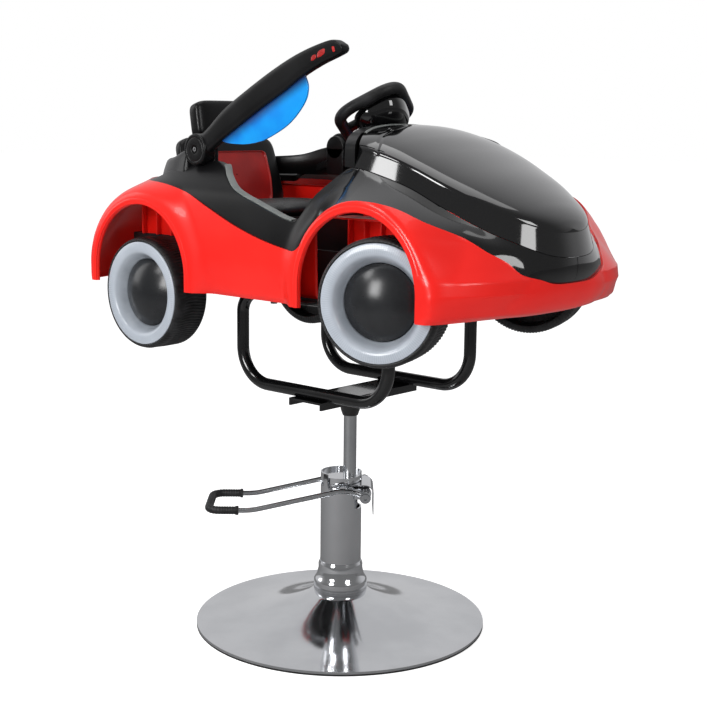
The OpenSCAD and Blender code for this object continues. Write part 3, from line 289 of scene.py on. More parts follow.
def plate(name, outline, thickness, matrix, bevel=1):
    """A rounded plate in the matrix's XZ plane."""
    mesh = bpy.data.meshes.new(name)
    points = [matrix @ mm(x, 0, z) for x, z in outline]
    mesh.from_pydata(points, [], [list(range(len(points)))])
    piece = bpy.data.objects.new(name, mesh)
    bpy.context.scene.collection.objects.link(piece)
    change(piece, "SOLIDIFY", thickness=thickness * MM, offset=0)
    change(piece, "BEVEL", width=bevel * MM, segments=3, limit_method="ANGLE")
    return tidy(piece, 50)


def block(name, one, other, matrix=None, bevel=1.5, segments=3):
    """A box with rounded edges between two opposite corners, in millimetres."""
    bpy.ops.mesh.primitive_cube_add(size=1)
    piece = bpy.context.object
    piece.name = name
    for vertex in piece.data.vertices:
        corner = [max(a, b) if s > 0 else min(a, b) for s, a, b in zip(vertex.co, one, other)]
        vertex.co = matrix @ mm(*corner) if matrix else car(*corner)
    change(piece, "BEVEL", width=bevel * MM, segments=segments)
    return tidy(piece)


def outline_curve(points, steps=6):
    """A closed smooth line through the points."""
    count = len(points)
    line = []
    for k in range(count):
        p = [Vector(points[(k + j) % count]) for j in (-1, 0, 1, 2)]
        for i in range(steps):
            t = i / steps
            line.append(0.5 * (
                2 * p[1] + (p[2] - p[0]) * t + (2 * p[0] - 5 * p[1] + 4 * p[2] - p[3]) * t * t
                + (3 * p[1] - p[0] - 3 * p[2] + p[3]) * t ** 3
            ))
    return line


CAR = Matrix.Translation(CAR_OFF * MM)
PUMP = turned(PUMP_TURN, "Z")


# The moulded body: s runs from 0 at the nose over 1 and 2 at the ends of the side to 3 at the tail
def plan_radius(turn, reach, wide, power):
    c, k = abs(cos(turn)), abs(sin(turn))
    return ((c / reach) ** power + (k / wide) ** power) ** (-1 / power)


def body_plan(s, z, inset=0):
    rear, front, wide, rear_power, front_power = smooth(LAYERS, (z - BODY_Z) / BODY_H)
    wide = wide * BODY_HW - inset
    if 1 <= s <= 2:
        return FRONT_JOIN + (REAR_JOIN - FRONT_JOIN) * (s - 1), wide
    if s < 1:
        turn = s * pi / 2
        r = plan_radius(turn, front * FRONT_LEN - inset, wide, front_power)
        if z < BUMPER[-1][0]:
            r = max(r, plan_radius(turn, *straight(BUMPER, z)) - inset)
            r = min(r, (LIP_OUT - inset) / max(sin(turn), 0.01))
        return FRONT_JOIN + r * cos(turn), r * sin(turn)
    turn = (s - 1) * pi / 2
    r = plan_radius(turn, rear * REAR_LEN - inset, wide, rear_power)
    return REAR_JOIN + r * cos(turn), r * sin(turn)


def arch_distance(x, z):
    return min(hypot(x - cx, max(z - cz, 0)) for cx, cz in ARCHES)


def line_height(line, x):
    return BODY_Z + BODY_H * smooth(line, x / CAR_LEN)[0]


def last_where(holds, low, high):
    """The highest value between two for which a test holds, found by halving."""
    for _ in range(24):
        middle = (low + high) / 2
        low, high = (middle, high) if holds(middle) else (low, middle)
    return low


@cache
def meets(line, s, inset):
    """Height at which the body's column s reaches a line of the side view."""
    return last_where(lambda z: z < line_height(line, body_plan(s, z, inset)[0]),
                      BODY_Z, BODY_Z + LAYERS[-1][0] * BODY_H)


@cache
def station(u):
    """s of a share of the way round the body from the nose and back, with even steps."""
    share = 1 - abs(2 * u - 1)
    fine, level = 600, 800
    points = [Vector(body_plan(3 * i / fine, level)) for i in range(fine + 1)]
    lengths = [0]
    for a, b in zip(points, points[1:]):
        lengths.append(lengths[-1] + (b - a).length)
    goal = share * lengths[-1]
    k = next(i for i in range(fine) if lengths[i + 1] >= goal - 1e-9)
    return 3 * (k + (goal - lengths[k]) / (lengths[k + 1] - lengths[k])) / fine


def body_skin(u, z, inset=0):
    s = station(u)
    x, y = body_plan(s, z, inset)
    fade, sunk = 46, 1
    flare = 1 - ease(arch_distance(x, z), LIP_R, LIP_R + fade)
    y += max(LIP_OUT - sunk - inset - y, 0) * flare
    return car(x, -y if u <= 0.5 else y, z)


def red_skin(u, v):
    """A quarter of the rows lie under the crease and the rest above it, up to the black half."""
    top = meets(COLOUR_LINE, station(u), 0)
    return body_skin(u, straight(((0, BODY_Z), (0.25, 750), (1, top)), v)[0])


def cut_arch(piece, center, radius):
    """Cuts a wheel arch through both sides: a round top and straight legs."""
    x, z = center
    bpy.ops.mesh.primitive_cylinder_add(vertices=160, radius=radius * MM, depth=2 * ARCH_CUT * MM)
    drum = bpy.context.object
    drum.data.transform(CAR @ moved(x, 0, z) @ turned(90, "X"))
    legs = block("legs", (x - radius, -ARCH_CUT, BODY_Z - 60), (x + radius, ARCH_CUT, z), bevel=0.01,
                 segments=1)
    for tool in (drum, legs):
        change(piece, "BOOLEAN", object=tool, operation="DIFFERENCE", solver="EXACT")
        bpy.data.objects.remove(tool)


def horseshoe(t, radius, leg):
    """A point on two legs joined by a half circle: its place across and along the legs."""
    whole = pi * radius + 2 * leg
    d = t * whole
    if d < leg:
        return -radius, d
    if d > whole - leg:
        return radius, whole - d
    turn = pi - (d - leg) / radius
    return radius * cos(turn), leg + radius * sin(turn)


def arch_lip(center, side):
    """The rolled edge of a wheel arch."""
    cx, cz = center
    section = rounded([
        (157, 278), (152, 285.5), (147, LIP_OUT), (141, 287.6), (137.4, 285.4), (ARCH_R, 281.5),
        (ARCH_R, 278.5), (138.6, 278.5), (139.2, 281.6), (145, 284), (150, 281.5), (154, 276), (157, 278)
    ], 3, 3)
    rows = len(section) - 1

    def place(u, v):
        radius, y = section[round(v * rows)]
        x, z = horseshoe(u, radius, cz - BODY_Z)
        return car(cx + x, side * y, BODY_Z + z)

    return surface("lip", place, 120, rows)


def inner_wall(x0, x1, y, top, side):
    """The ribbed wall inside a wheel arch with the shelf over it."""
    low, ribs, thick, depth, reach = 799.5, 5, 4, 12, 215
    inner = side * (y - thick)
    parts = [
        block("wall", (x0, side * y, low), (x1, inner, top), bevel=1),
        block("shelf", (x0, inner, top - thick), (x1, side * reach, top), bevel=1),
    ]
    for i in range(ribs + 1):
        x = x0 + (x1 - x0 - thick) * i / ribs
        parts.append(block("rib", (x, side * y, low), (x + thick, side * (y + depth), top - 2), bevel=1))
    return parts


def make_red_shell():
    shell = tidy(surface("red_shell", red_skin, 420, 48))
    change(shell, "SOLIDIFY", thickness=4 * MM, offset=-1)
    for center in ARCHES:
        cut_arch(shell, center, ARCH_R + 2)
    parts = [shell]
    for side in (-1, 1):
        parts += [tidy(arch_lip(center, side)) for center in ARCHES]
        for wall in ARCH_WALLS:
            parts += inner_wall(*wall, side)
    shell = shade(join("red_shell", *parts), 35)
    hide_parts("lower_body", "arch_walls")
    return shell


# The hood's plan, and the black upper half that runs up to it
def hood_width(x):
    """Half the hood's width at a place along the car."""
    t = min(max(x - HOOD_TAPER, 0) / (HOOD_TIP - HOOD_TAPER), 1)
    return HOOD_HW * max(1 - t ** HOOD_POWER, 0) ** (1 / HOOD_POWER)


def hood_heights(x):
    """Seam, crease and crown of the hood as shares of the body's height."""
    return smooth(HOOD, (x - HOOD_BACK) / (HOOD_TIP - HOOD_BACK))


@cache
def hood_edge(s):
    """The point of the hood's lower edge that the body's column s runs up to."""
    if s >= 1:
        x = body_plan(s, BODY_Z)[0]
        y = hood_width(x)
    else:
        c, k = cos(s * pi / 2), sin(s * pi / 2)
        reach = last_where(lambda r: FRONT_JOIN + r * c < HOOD_TIP and hood_width(
            FRONT_JOIN + r * c) > r * k, 0, 400)
        x, y = FRONT_JOIN + reach * c, reach * k
    return x, y, BODY_Z + BODY_H * hood_heights(x)[0]


def black_skin(u, v):
    """v runs up the side, in over the rolled edge and down behind it."""
    s = station(u)
    inset, tuck, least = 4.3, 8, 7
    low = meets(COLOUR_LINE, s, inset) - tuck
    top = max(meets(DECK_LINE, s, inset), low + least)
    wall, cap = 0.8, 0.92
    edge, roll, hem, bulge = 18, 2.5, 14, 0.012
    x, y = body_plan(s, top, inset)
    side = -1 if u <= 0.5 else 1
    seam_x, seam_y, seam_z = hood_edge(s)
    ahead = ease(x, 185, 222)
    top += (seam_z - 1 - top) * ahead
    if v <= wall:
        share = v / wall
        point = body_skin(u, low + (top - low) * share, inset)
        foot, seam = body_skin(u, low, inset), car(seam_x, side * (seam_y + 1), top)
        panel = foot.lerp(seam, share)
        panel += (foot - car(HOOD_TAPER, 0, 0)).normalized() * bulge * sin(pi * share)
        return Vector((*point.lerp(panel, ahead).xy, point.z))
    x += (seam_x - x) * ahead
    y += (seam_y + 1 - y) * ahead
    inward = edge * min((v - wall) / (cap - wall), 1)
    drop = hem * max(v - cap, 0) / (1 - cap)
    lift = roll * sin(pi * inward / edge) * (1 - ahead)
    # Along the sides the edge rolls straight in, and at the ends towards the middle
    if 0.6 < s < 2.5:
        return car(x, side * max(y - inward, 0), top + lift - drop)
    across = y * (1 - inward / hypot(x, y))
    return car(x - copysign(inward * 0.9, x), side * across, top + lift - drop)


def make_black_shell():
    shell = tidy(surface("black_shell", black_skin, 420, 40))
    change(shell, "SOLIDIFY", thickness=2.5 * MM, offset=-1)
    cut_arch(shell, ARCHES[1], ARCH_R + 4)
    shade(shell, 35)
    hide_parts("upper_body")
    return shell


# Rear deck round the seat
def deck_edge(t, radius):
    """A point of the deck's D-shaped plan, t from the right front round to the left front."""
    run, longer = 50, 17
    y, back = horseshoe(t, radius, run)
    return REAR_JOIN - back - longer * max(back - run, 0) / radius, y


def make_deck():
    outer, inner = 224, 197
    base_z = BODY_Z + 0.765 * BODY_H
    profile = rounded([(0, 0), (0.10, 0.35), (0.35, 0.85), (0.60, 1.0), (0.96, 1.0), (1.0, 0.8),
                       (1.0, 0.0)], 0.12, 4)
    rows = len(profile) - 1

    def place(u, v):
        inward, up = profile[round(v * rows)]
        x, y = deck_edge(u, outer + (inner - outer) * inward)
        outer_x = deck_edge(u, outer)[0]
        top = BODY_Z + BODY_H * smooth(DECK_RISE, outer_x / CAR_LEN)[0] - 1
        # The ring goes down before it reaches the hubs
        top -= 42 * ease(outer_x, -236, -226)
        return car(x, y, base_z + (top - base_z) * up)

    deck = tidy(surface("rear_deck_cover", place, 260, rows))
    change(deck, "SOLIDIFY", thickness=3 * MM, offset=-1)
    parts = [deck]
    ear_r, ear_thick, ear_face = 25, 12, HUB_Y - 16
    for side in (-1, 1):
        hub = CAR @ moved(HUB_X, side * ear_face, HUB_Z) @ turned(-side * 90, "X")
        parts.append(lathe("ear", rounded([
            (0, 0), (ear_r, 0), (ear_r, -ear_thick), (0, -ear_thick)], 2, 3), hub, 48))
        parts.append(block("stem", (HUB_X - ear_r, side * ear_face, HUB_Z - 60),
                           (HUB_X + ear_r, side * (ear_face - ear_thick), HUB_Z), bevel=3))
        parts.append(lathe("pin", [(0, 30.5), (5.9, 30.5), (5.9, 0), (0, 0)], hub, 32))
    deck = join("rear_deck_cover", *parts)
    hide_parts("rear_deck")
    return deck


# Hood
def hood_skin(u, v):
    """u goes from the windscreen edge to the nose, v from the right seam over the crown."""
    skirt, lean, rake = 0.14, 0.055, 0.03
    groove_place, groove_width, groove_depth = 44, 3, 1.6
    on_top = skirt <= v <= 1 - skirt
    if on_top:
        turn, rise = pi * (1 - (v - skirt) / (1 - 2 * skirt)), 1
    else:
        turn, rise = pi if v < skirt else 0, min(v, 1 - v) / skirt
    back = HOOD_BACK + HOOD_SWEEP * cos(turn) ** 2
    x = back + (HOOD_TIP - back) * sin(u * pi / 2)
    seam, crease, crown = hood_heights(x)
    z = seam + (crease - seam) * rise
    y = hood_width(x) * (1 - lean * rise) * cos(turn)
    if on_top:
        z += (crown - crease) * sin(turn)
        # A groove parts the cowl from the hood
        z -= groove_depth / BODY_H * exp(-((x - back - groove_place) / groove_width) ** 2)
    return car(x - max(x - HOOD_TAPER, 0) * rake * rise, y, BODY_Z + BODY_H * z)


def make_hood():
    hood = tidy(surface("hood_cover", hood_skin, 150, 160), 30)
    change(hood, "SOLIDIFY", thickness=3.5 * MM, offset=-1)
    shade(hood, 40)

    def lip(u, v):
        turn = pi * (0.22 + 0.56 * u)
        back = HOOD_BACK + HOOD_SWEEP * cos(turn) ** 2
        _, crease, crown = HOOD[0][1:]
        z = BODY_Z + BODY_H * (crease + (crown - crease) * sin(turn))
        swell, half_thick, half_high = 2 * pi * v, 4, 2.6
        return car(back + 1 + half_thick * cos(swell), (HOOD_HW - 10) * cos(turn),
                   z - 1 + half_high * sin(swell))

    cowl = tidy(surface("cowl_lip", lip, 120, 16))
    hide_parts("hood")
    return hood, cowl


# Wheels
def wheel_frame(front, side):
    if front:
        place = CAR @ moved(310, side * 190, 730) @ turned(19.24, "Z") @ moved(0, side * 110, 0)
    else:
        place = CAR @ moved(-298, side * 280, 688)
    return place @ turned(-side * 90, "X")


def tread(u, r, z):
    """Fine ribs across the tyre's crown, bent in the middle."""
    start, full, edge = 109, 112, -16
    if r < start or z > edge:
        return 0
    lugs, slope, depth = 110, 0.9, 1.3
    phase = (u * lugs + slope * abs(z + TYRE_HALF) / TYRE_HALF) % 1
    fade = ease(r, start, full) * (1 - ease(z, edge - 8, edge))
    return -depth * fade * (1 - ease(abs(phase - 0.5), 0.12, 0.34))


def make_wheel(name, front, side):
    place = wheel_frame(front, side)
    crown = [(113.4 - 0.9 * abs(z + TYRE_HALF) / TYRE_HALF, z) for z in range(-12, -74, -3)]
    outer = rounded([(7.1, -26), (72, -26), (80, -14.5), (86, -9.6), (104.6, -9.6), (104.6, 1.2),
                     (108.4, 1.6), (111.4, -3), (113, -9)], 1.5, 3)
    inner = rounded([(112, -75), (108, -80.5), (104, -82), (96, -82), (94, -52), (23, -52), (22, -82),
                     (7.1, -82), (7.1, -26)], 2.5, 3)
    tyre = lathe("tyre_cover_" + name, outer + crown + inner, place, 660, tread)
    ring = lathe("ring_cover_" + name, rounded([
        (68.3, -23.5), (73, -21), (78, -12), (84, -9.2), (104.2, -9.2), (104.2, 1.0), (103, 2.4),
        (99, 3.4), (93, 4.2), (87, 3.8), (82, 1.2), (77, -6), (72, -15.5), (69.2, -19.5),
        (68.3, -23.5)], 3, 5), place, 192)
    ball, top, edge, rows = 120, 2, radians(34.3), 26
    dome = [(0, -23), (67.8, -23)]
    for a in (edge - edge * i / rows for i in range(rows + 1)):
        dome.append((ball * sin(a), top - ball + ball * cos(a)))
    cap = lathe("cap_cover_" + name, dome, place, 128)
    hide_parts("tyre_" + name)
    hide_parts("rings_" + name)
    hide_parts("cap_" + name)
    return tyre, ring, cap


# Door arms
def hub_frame(side, turn):
    return CAR @ moved(HUB_X, side * HUB_Y, HUB_Z) @ turned(-turn, "Y")


def make_arm(name, side, turn):
    place = hub_frame(side, turn)
    half_thick = 11

    def skin(u, v):
        share = 0.02 + 0.98 * sin(u * pi / 2)
        top = HUB_R * smooth(ARM_TOP, share)[0]
        low = HUB_R * smooth(ARM_LOW, share)[0]
        close = 1 - ease(u, 0.94, 1) * 0.85
        high = (top - low) / 2 * (1 if share < 0.98 else close)
        c, k = squarish(2 * pi * v, 4.2)
        return place @ mm(ARM_LEN * share, half_thick * close * c, (top + low) / 2 + high * k)

    arm = tidy(surface("arm", skin, 110, 48), fill=True)
    hub = place @ turned(-side * 90, "X")
    disc = lathe("hub", rounded([
        (6, -15), (29, -15), (31, -12.5), (31, 12.5), (29, 15), (24.5, 15), (23.5, 13.8), (22.5, 15),
        (8.5, 15.4), (7.5, 12), (0, 12)], 1.5, 3), hub, 96)
    screw = lathe("arm_screw_" + name, rounded([
        (0, 12), (5.6, 12), (5.6, 13.6), (4.4, 14.6), (1.4, 14.6), (1.2, 13.2), (0, 13.2)],
        0.5, 2), hub, 48)
    arm = join("arm_cover_" + name, arm, disc)
    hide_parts("door_arm_" + name)
    pane = outline_curve([(x * ARM_LEN, z * HUB_R) for x, z in WINDOW])
    window = plate("window_cover_" + name, pane, 4, place, 1.2)
    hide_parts("door_window_" + name)
    spots = []
    for share, rise, w, h in ((0.885, 0.30, 11, 5), (0.840, 0.34, 7, 4), (0.955, 0.02, 3, 5)):
        x, z = share * ARM_LEN, rise * HUB_R
        shape = outline_curve([(x - w, z - h * 0.7), (x + w * 0.6, z - h), (x + w, z + h * 0.6),
                               (x - w * 0.4, z + h)], 4)
        for face in (-1, 1):
            spots.append(plate("spot", shape, 1.2, place @ moved(0, face * (half_thick - 0.1), 0), 0.3))
    marks = join("arm_marks_" + name, *spots)
    return arm, screw, window, marks


# Seat
def on_back(x, y, z):
    """A place on the seat back: ahead of it, across it and up along it."""
    lean, foot = radians(18), 26
    return car(-294 + x * cos(lean) - z * sin(lean), y,
               842 + (foot + x) * sin(lean) + z * cos(lean))


def pillow(name, low, high, power, place, crown=0, rings=40, around=96):
    """A rounded box of superellipse form between two corners."""
    mid = [(a + b) / 2 for a, b in zip(low, high)]
    half = [(b - a) / 2 for a, b in zip(low, high)]

    def skin(u, v):
        a, b = 2 * pi * u, pi * (v - 0.5)
        shrink, out = squarish(b, power)[0], squarish(b, power * 0.7)[1]
        y, z = (shrink * k for k in squarish(a, power))
        x = out + crown * (1 - y * y) * (1 - z * z) * (out > 0)
        return place(*(m + h * k for m, h, k in zip(mid, half, (x, y, z))))

    return tidy(surface(name, skin, around, rings), 60)


def make_seat():
    back = pillow("seat_back_cover", (-26, -138, 0), (2, 138, 160), 7, on_back)
    rest = pillow("headrest_cover", (-28, -78, 156), (10, 78, 236), 6,
                  lambda x, y, z: on_back(x + 0.16 * (z - 196), y, z), 0.15)
    insert = plate_on_back()
    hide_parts("seat_back")
    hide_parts("headrest")
    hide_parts("back_pad")
    cushion = pillow("seat_cushion", (-286, -146, 842), (-98, 146, 866), 5, car, 0, 28, 80)
    puff(cushion)
    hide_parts("seat_pad")
    return back, rest, insert, cushion


def plate_on_back():
    """The red insert with its raised, light-catching border."""
    outline = rounded([(-100, 60), (-100, 124), (100, 124), (100, 60), (90, 10), (-90, 10), (-100, 60)],
                      14, 6)

    def skin(u, v):
        k = u * (len(outline) - 1)
        y, z = outline[round(k)]
        steps = ((1.0, 1), (1.0, 5.5), (0.985, 6.8), (0.965, 6.6), (0.95, 4.5), (0.9, 4.2), (0.5, 4.0),
                 (0.02, 4.0))
        scale, out = steps[round(v * (len(steps) - 1))]
        return on_back(out, y * scale, 72 + (z - 72) * scale)

    return tidy(surface("back_insert", skin, len(outline) - 1, 7), 50)


def puff(cushion):
    """Swells the cushion by cloth simulation, with its rise held to a few millimetres."""
    change(cushion, "REMESH", mode="VOXEL", voxel_size=0.005)
    rest = [v.co.copy() for v in cushion.data.vertices]
    cloth = cushion.modifiers.new("CLOTH", "CLOTH")
    cloth.settings.use_pressure = True
    cloth.settings.uniform_pressure_force = 4
    cloth.settings.effector_weights.gravity = 0
    frames = 20
    cloth.point_cache.frame_end = frames
    for i in range(1, frames + 1):
        bpy.context.scene.frame_set(i)
    graph = bpy.context.evaluated_depsgraph_get()
    swollen = [v.co.copy() for v in cushion.evaluated_get(graph).data.vertices]
    cushion.modifiers.remove(cloth)
    most = 0.005
    for vertex, before, after in zip(cushion.data.vertices, rest, swollen):
        step = after - before
        vertex.co = before + step * min(1, most / max(step.length, 1e-9))
    bpy.context.scene.frame_set(1)
    change(cushion, "SMOOTH", factor=0.5, iterations=6)
    lowest, middle, highest = 0.8421, 0.856, 0.8705
    for vertex in cushion.data.vertices:
        x = vertex.co.x / MM - CAR_OFF.x
        # Two sewn channels run across the seat
        for channel in (-232, -160):
            vertex.co.z -= 0.0035 * exp(-((x - channel) / 5) ** 2) * (vertex.co.z > middle)
        vertex.co.z = min(max(vertex.co.z, lowest), highest)
    pick(cushion)
    bpy.ops.object.shade_smooth()


# Steering
def column_frame(rest=35):
    """The steering column's space, turned to where the wheel rests, with the wheel at its origin."""
    return CAR @ moved(80, 0, 1050) @ turned(-35, "Y") @ turned(rest, "Z")


def make_steering():
    place = column_frame()
    corner, grip = 44, 11.5
    half_x, half_y = 76 - grip, 95 - grip
    corners = [(half_x, -half_y), (half_x, half_y), (-half_x, half_y), (-half_x, -half_y)]
    loop = [(half_x, 0)] + corners[1:] + corners[:1] + [(half_x, 0)]
    line = [Vector((p.x, p.y, 0)) for p in rounded(loop, corner, 10)]
    count = len(line) - 1

    def rim_skin(u, v):
        i = round(v * count)
        ahead = (line[(i + 1) % count] - line[i - 1 if i else count - 1]).normalized()
        out = Vector((ahead.y, -ahead.x, 0)) * cos(2 * pi * u)
        return place @ ((line[i] + (out + Vector((0, 0, sin(2 * pi * u)))) * grip) * MM)

    parts = [tidy(surface("rim", rim_skin, 24, count))]
    for one, other in (((-16, -26), (16, -84)), ((-16, 26), (16, 84)), ((-66, -14), (-22, 14))):
        parts.append(block("spoke", (*one, -7), (*other, 6), place, 5, 4))
    parts.append(lathe("boss", rounded([
        (20.4, -8), (31, -8), (34, -2), (31, 7.5), (24, 9), (20.4, 8.6), (20.4, -8)], 2, 3), place, 64))
    wheel = join("steering_wheel_cover", *parts)
    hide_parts("steering_wheel")

    def cover_skin(u, v):
        c, k = squarish(2 * pi * u, 2.8)
        out = pi / 2 * v
        reach = max(cos(out) ** 0.55 if v < 1 else 0, 0.01)
        return place @ mm(12 + 53 * c * reach, 67 * k * reach, -2 - 46 * sin(out))

    shell = tidy(surface("wheel_shell_cover", cover_skin, 96, 24), 50, True)
    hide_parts("wheel_shell")
    fixed = column_frame(0)

    def shroud(u, v):
        c, k = squarish(2 * pi * u, 4)
        return fixed @ mm(4 + (30 + 16 * v) * c, (44 + 16 * v) * k, -50 - 110 * v)

    pod = tidy(surface("column_shroud", shroud, 64, 12), 50, True)
    return wheel, shell, pod


# Cabin trim
def make_trim(side):
    rear, front, half_wide, half_high = -128, 114, 9, 2.4

    def skin(u, v):
        x = rear + (front - rear) * u
        z = line_height(DECK_LINE, x)
        outer = smooth(LAYERS, (z - BODY_Z) / BODY_H)[2] * BODY_HW - 7
        c, k = squarish(2 * pi * v, 4)
        return car(x, side * (outer - half_wide + half_wide * c), z + 1.8 + half_high * k)

    return tidy(surface("sill_cover", skin, 90, 20), fill=True)


def make_liner():
    """Red inner sides of the cabin."""
    parts = []
    for side in (-1, 1):
        def skin(u, v):
            x = -156 + 296 * u
            low, top = 712, min(line_height(DECK_LINE, x) - 8, 888)
            return car(x, side * (222 + 4 * v), low + (top - low) * v)

        liner = tidy(surface("liner", skin, 40, 20))
        change(liner, "SOLIDIFY", thickness=2.5 * MM, offset=0)
        parts.append(liner)
    return join("cabin_liner", *parts)


# Pedal
def pedal_line(side):
    """The bent rod from its bush over the hump to the straight run, and the run's height."""
    crest_u, crest_r, drop = 6, 75, 63
    fall, run_r = radians(13), 160
    low = (PIVOT_Z - drop + crest_r * cos(fall)
           - (crest_u - crest_r * sin(fall) - PEDAL_RUN - run_r * sin(fall)) * tan(fall)
           - run_r * (1 - cos(fall)))
    start = acos((PIVOT_U - crest_u) / crest_r)
    top, bottom = radians(90), radians(270)
    points = []
    for u, z, r, first, last, steps in (
            (crest_u, PIVOT_Z - drop, crest_r, start, top + fall, 24),
            (PEDAL_RUN, low + run_r, run_r, bottom + fall, bottom, 12)):
        for i in range(steps + 1):
            a = first + (last - first) * i / steps
            points.append((u + r * cos(a), side * PEDAL_HW, z + r * sin(a)))
    return points, low


def pedal_bow(low, run_to):
    """The closed end: straight, round the corner, across and back."""
    back, steps = PIVOT_U - PEDAL_REACH, 10
    turn_x, flat = back + PEDAL_CORNER, PEDAL_HW - PEDAL_CORNER
    half = [(run_to + (turn_x - run_to) * i / 12, -PEDAL_HW, low) for i in range(13)]
    for i in range(1, steps + 1):
        a = pi / 2 * i / steps
        half.append((turn_x - PEDAL_CORNER * sin(a), -flat - PEDAL_CORNER * cos(a), low))
    across = [(back, -flat + 2 * flat * i / 24, low) for i in range(1, 24)]
    return half + across + [(x, -y, z) for x, y, z in half[::-1]]


def make_pedal():
    right, low = pedal_line(-1)
    left, _ = pedal_line(1)
    bow = pedal_bow(low, PEDAL_RUN)
    parts = [tube("rod", right[:-1] + bow + left[::-1][1:], 5.25, PUMP)]
    for side in (-1, 1):
        place = PUMP @ moved(PIVOT_U, side * PEDAL_HW, PIVOT_Z) @ turned(-90, "X")
        parts.append(lathe("bush", rounded([
            (6, -6.5), (9, -6.5), (10, -5.5), (10, 5.5), (9, 6.5), (6, 6.5)], 0.6, 2), place, 48))
    lever = join("pedal_cover", *parts)
    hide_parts("pedal_lever")
    sleeve_len, pitch = 62, 1.2
    grip_line = [Vector(p) for p in pedal_bow(low, PIVOT_U - PEDAL_REACH + sleeve_len)]
    dense = []
    for a, b in zip(grip_line, grip_line[1:]):
        steps = max(1, round((b - a).length / pitch))
        dense += [a.lerp(b, i / steps) for i in range(steps)]
    dense.append(grip_line[-1])
    last = len(dense) - 1

    def ridges(i):
        """A collar at each end and fine ribs between."""
        end = min(i, last - i)
        return 1.5 if end < 6 else 0.35 * sin(i * 1.26)

    sleeve = tube("sleeve_cover", dense, 8, PUMP, 32, ridges)
    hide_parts("pedal_sleeve")
    return lever, sleeve


# Materials
class Wire:
    """A value in a material that can be reckoned with like a number."""

    def __init__(self, paint, socket):
        self.paint, self.socket = paint, socket

    def sum(self, kind, *values):
        return self.paint.node("Math", {"operation": kind}, dict(enumerate(values)))

    def __add__(self, other):
        return self.sum("ADD", self, other)

    def __sub__(self, other):
        return self.sum("SUBTRACT", self, other)

    def __mul__(self, other):
        return self.sum("MULTIPLY", self, other)

    def __rsub__(self, other):
        return self.sum("SUBTRACT", other, self)

    __radd__ = __add__

    def wave(self):
        """A wave between 0 and 1 along the value."""
        return self.sum("SINE", self) * 0.5 + 0.5

    def between(self, low, high):
        """0 below low, 1 above high, smooth between."""
        return self.paint.node("MapRange", {"interpolation_type": "SMOOTHSTEP"},
                               {"Value": self, "From Min": low, "From Max": high})


class Nodes:
    """A node tree, with short ways to add to it."""

    def __init__(self, tree):
        self.tree = tree

    def node(self, kind, settings=None, inputs=None, output=0):
        made = self.tree.nodes.new("ShaderNode" + kind)
        for name, value in (settings or {}).items():
            setattr(made, name, value)
        for name, value in (inputs or {}).items():
            self.feed(made.inputs[name], value)
        return Wire(self, made.outputs[output])

    def feed(self, socket, value):
        if isinstance(value, Wire):
            self.tree.links.new(value.socket, socket)
        else:
            socket.default_value = value

    def mix(self, share, first, second):
        return self.node("Mix", {"data_type": "RGBA"}, {0: share, 6: first, 7: second}, 2)

    def ray(self, kind):
        return self.node("LightPath", output="Is " + kind + " Ray")


class Paint(Nodes):
    """A material made of nodes."""

    def __init__(self, name):
        self.material = bpy.data.materials.new(name)
        self.material.use_nodes = True
        super().__init__(self.material.node_tree)
        self.shader = self.tree.nodes["Principled BSDF"]
        self.place = self.node("TexCoord", output="Object")

    def set(self, **values):
        for name, value in values.items():
            self.feed(self.shader.inputs[name.replace("_", " ")], value)
        return self.material

    def noise(self, scale, detail=3.0, where=None):
        return self.node("TexNoise", {}, {"Vector": where or self.place, "Scale": scale, "Detail": detail},
                         "Fac")

    def bump(self, height, strength=0.2, distance=0.001, over=None):
        return self.node("Bump", {}, {"Height": height, "Strength": strength, "Distance": distance,
                                      **({"Normal": over} if over else {})})

    def part(self, where, axis):
        return self.node("SeparateXYZ", {}, {"Vector": where}, axis)

    def within(self, matrix):
        """The surface's place in a turned piece's own space."""
        inside = matrix.inverted()
        return self.node("Mapping", {}, {"Vector": self.place, "Location": inside.to_translation(),
                                         "Rotation": inside.to_euler()})


def tone(red, green, blue):
    """A colour given as the eye sees it, 0 to 255, as Blender counts it."""
    return tuple(((c / 255 + 0.055) / 1.055) ** 2.4 if c > 10 else c / 255 / 12.92
                 for c in (red, green, blue)) + (1,)


def grey(level):
    return (level, level, level, 1)


def finish(name, colour, other, rough, rough_range=0.06, blotch=14, grain=900, grain_depth=0.05,
           metal=0.0, coat=0.0, spec=0.5):
    """A moulded, painted or plated finish: two close tones, uneven gloss and a fine grain."""
    paint = Paint(name)
    patches = paint.noise(blotch, 4)
    return paint.set(
        Base_Color=paint.mix(patches.between(0.35, 0.65), tone(*colour), tone(*other)),
        Roughness=rough + (patches - 0.5) * rough_range,
        Metallic=metal, Coat_Weight=coat, Coat_Roughness=0.06, Specular_IOR_Level=spec,
        Normal=paint.bump(paint.noise(grain, 2), grain_depth, 0.0004),
    )


def shell_paint():
    """Black moulding: satin along the sides and glossy where it carries the hood."""
    paint = Paint("shell_black")
    front = paint.part(paint.place, "X").between(0.17, 0.21)
    patches = paint.noise(9, 4)
    return paint.set(
        Base_Color=paint.mix(patches.between(0.35, 0.65), tone(10, 10, 11), tone(17, 17, 18)),
        Roughness=0.32 - front * 0.23 + (patches - 0.5) * 0.05,
        Coat_Weight=front * 0.9, Coat_Roughness=0.06, Specular_IOR_Level=0.3,
        Normal=paint.bump(paint.noise(1400, 2), 0.03, 0.0004),
    )


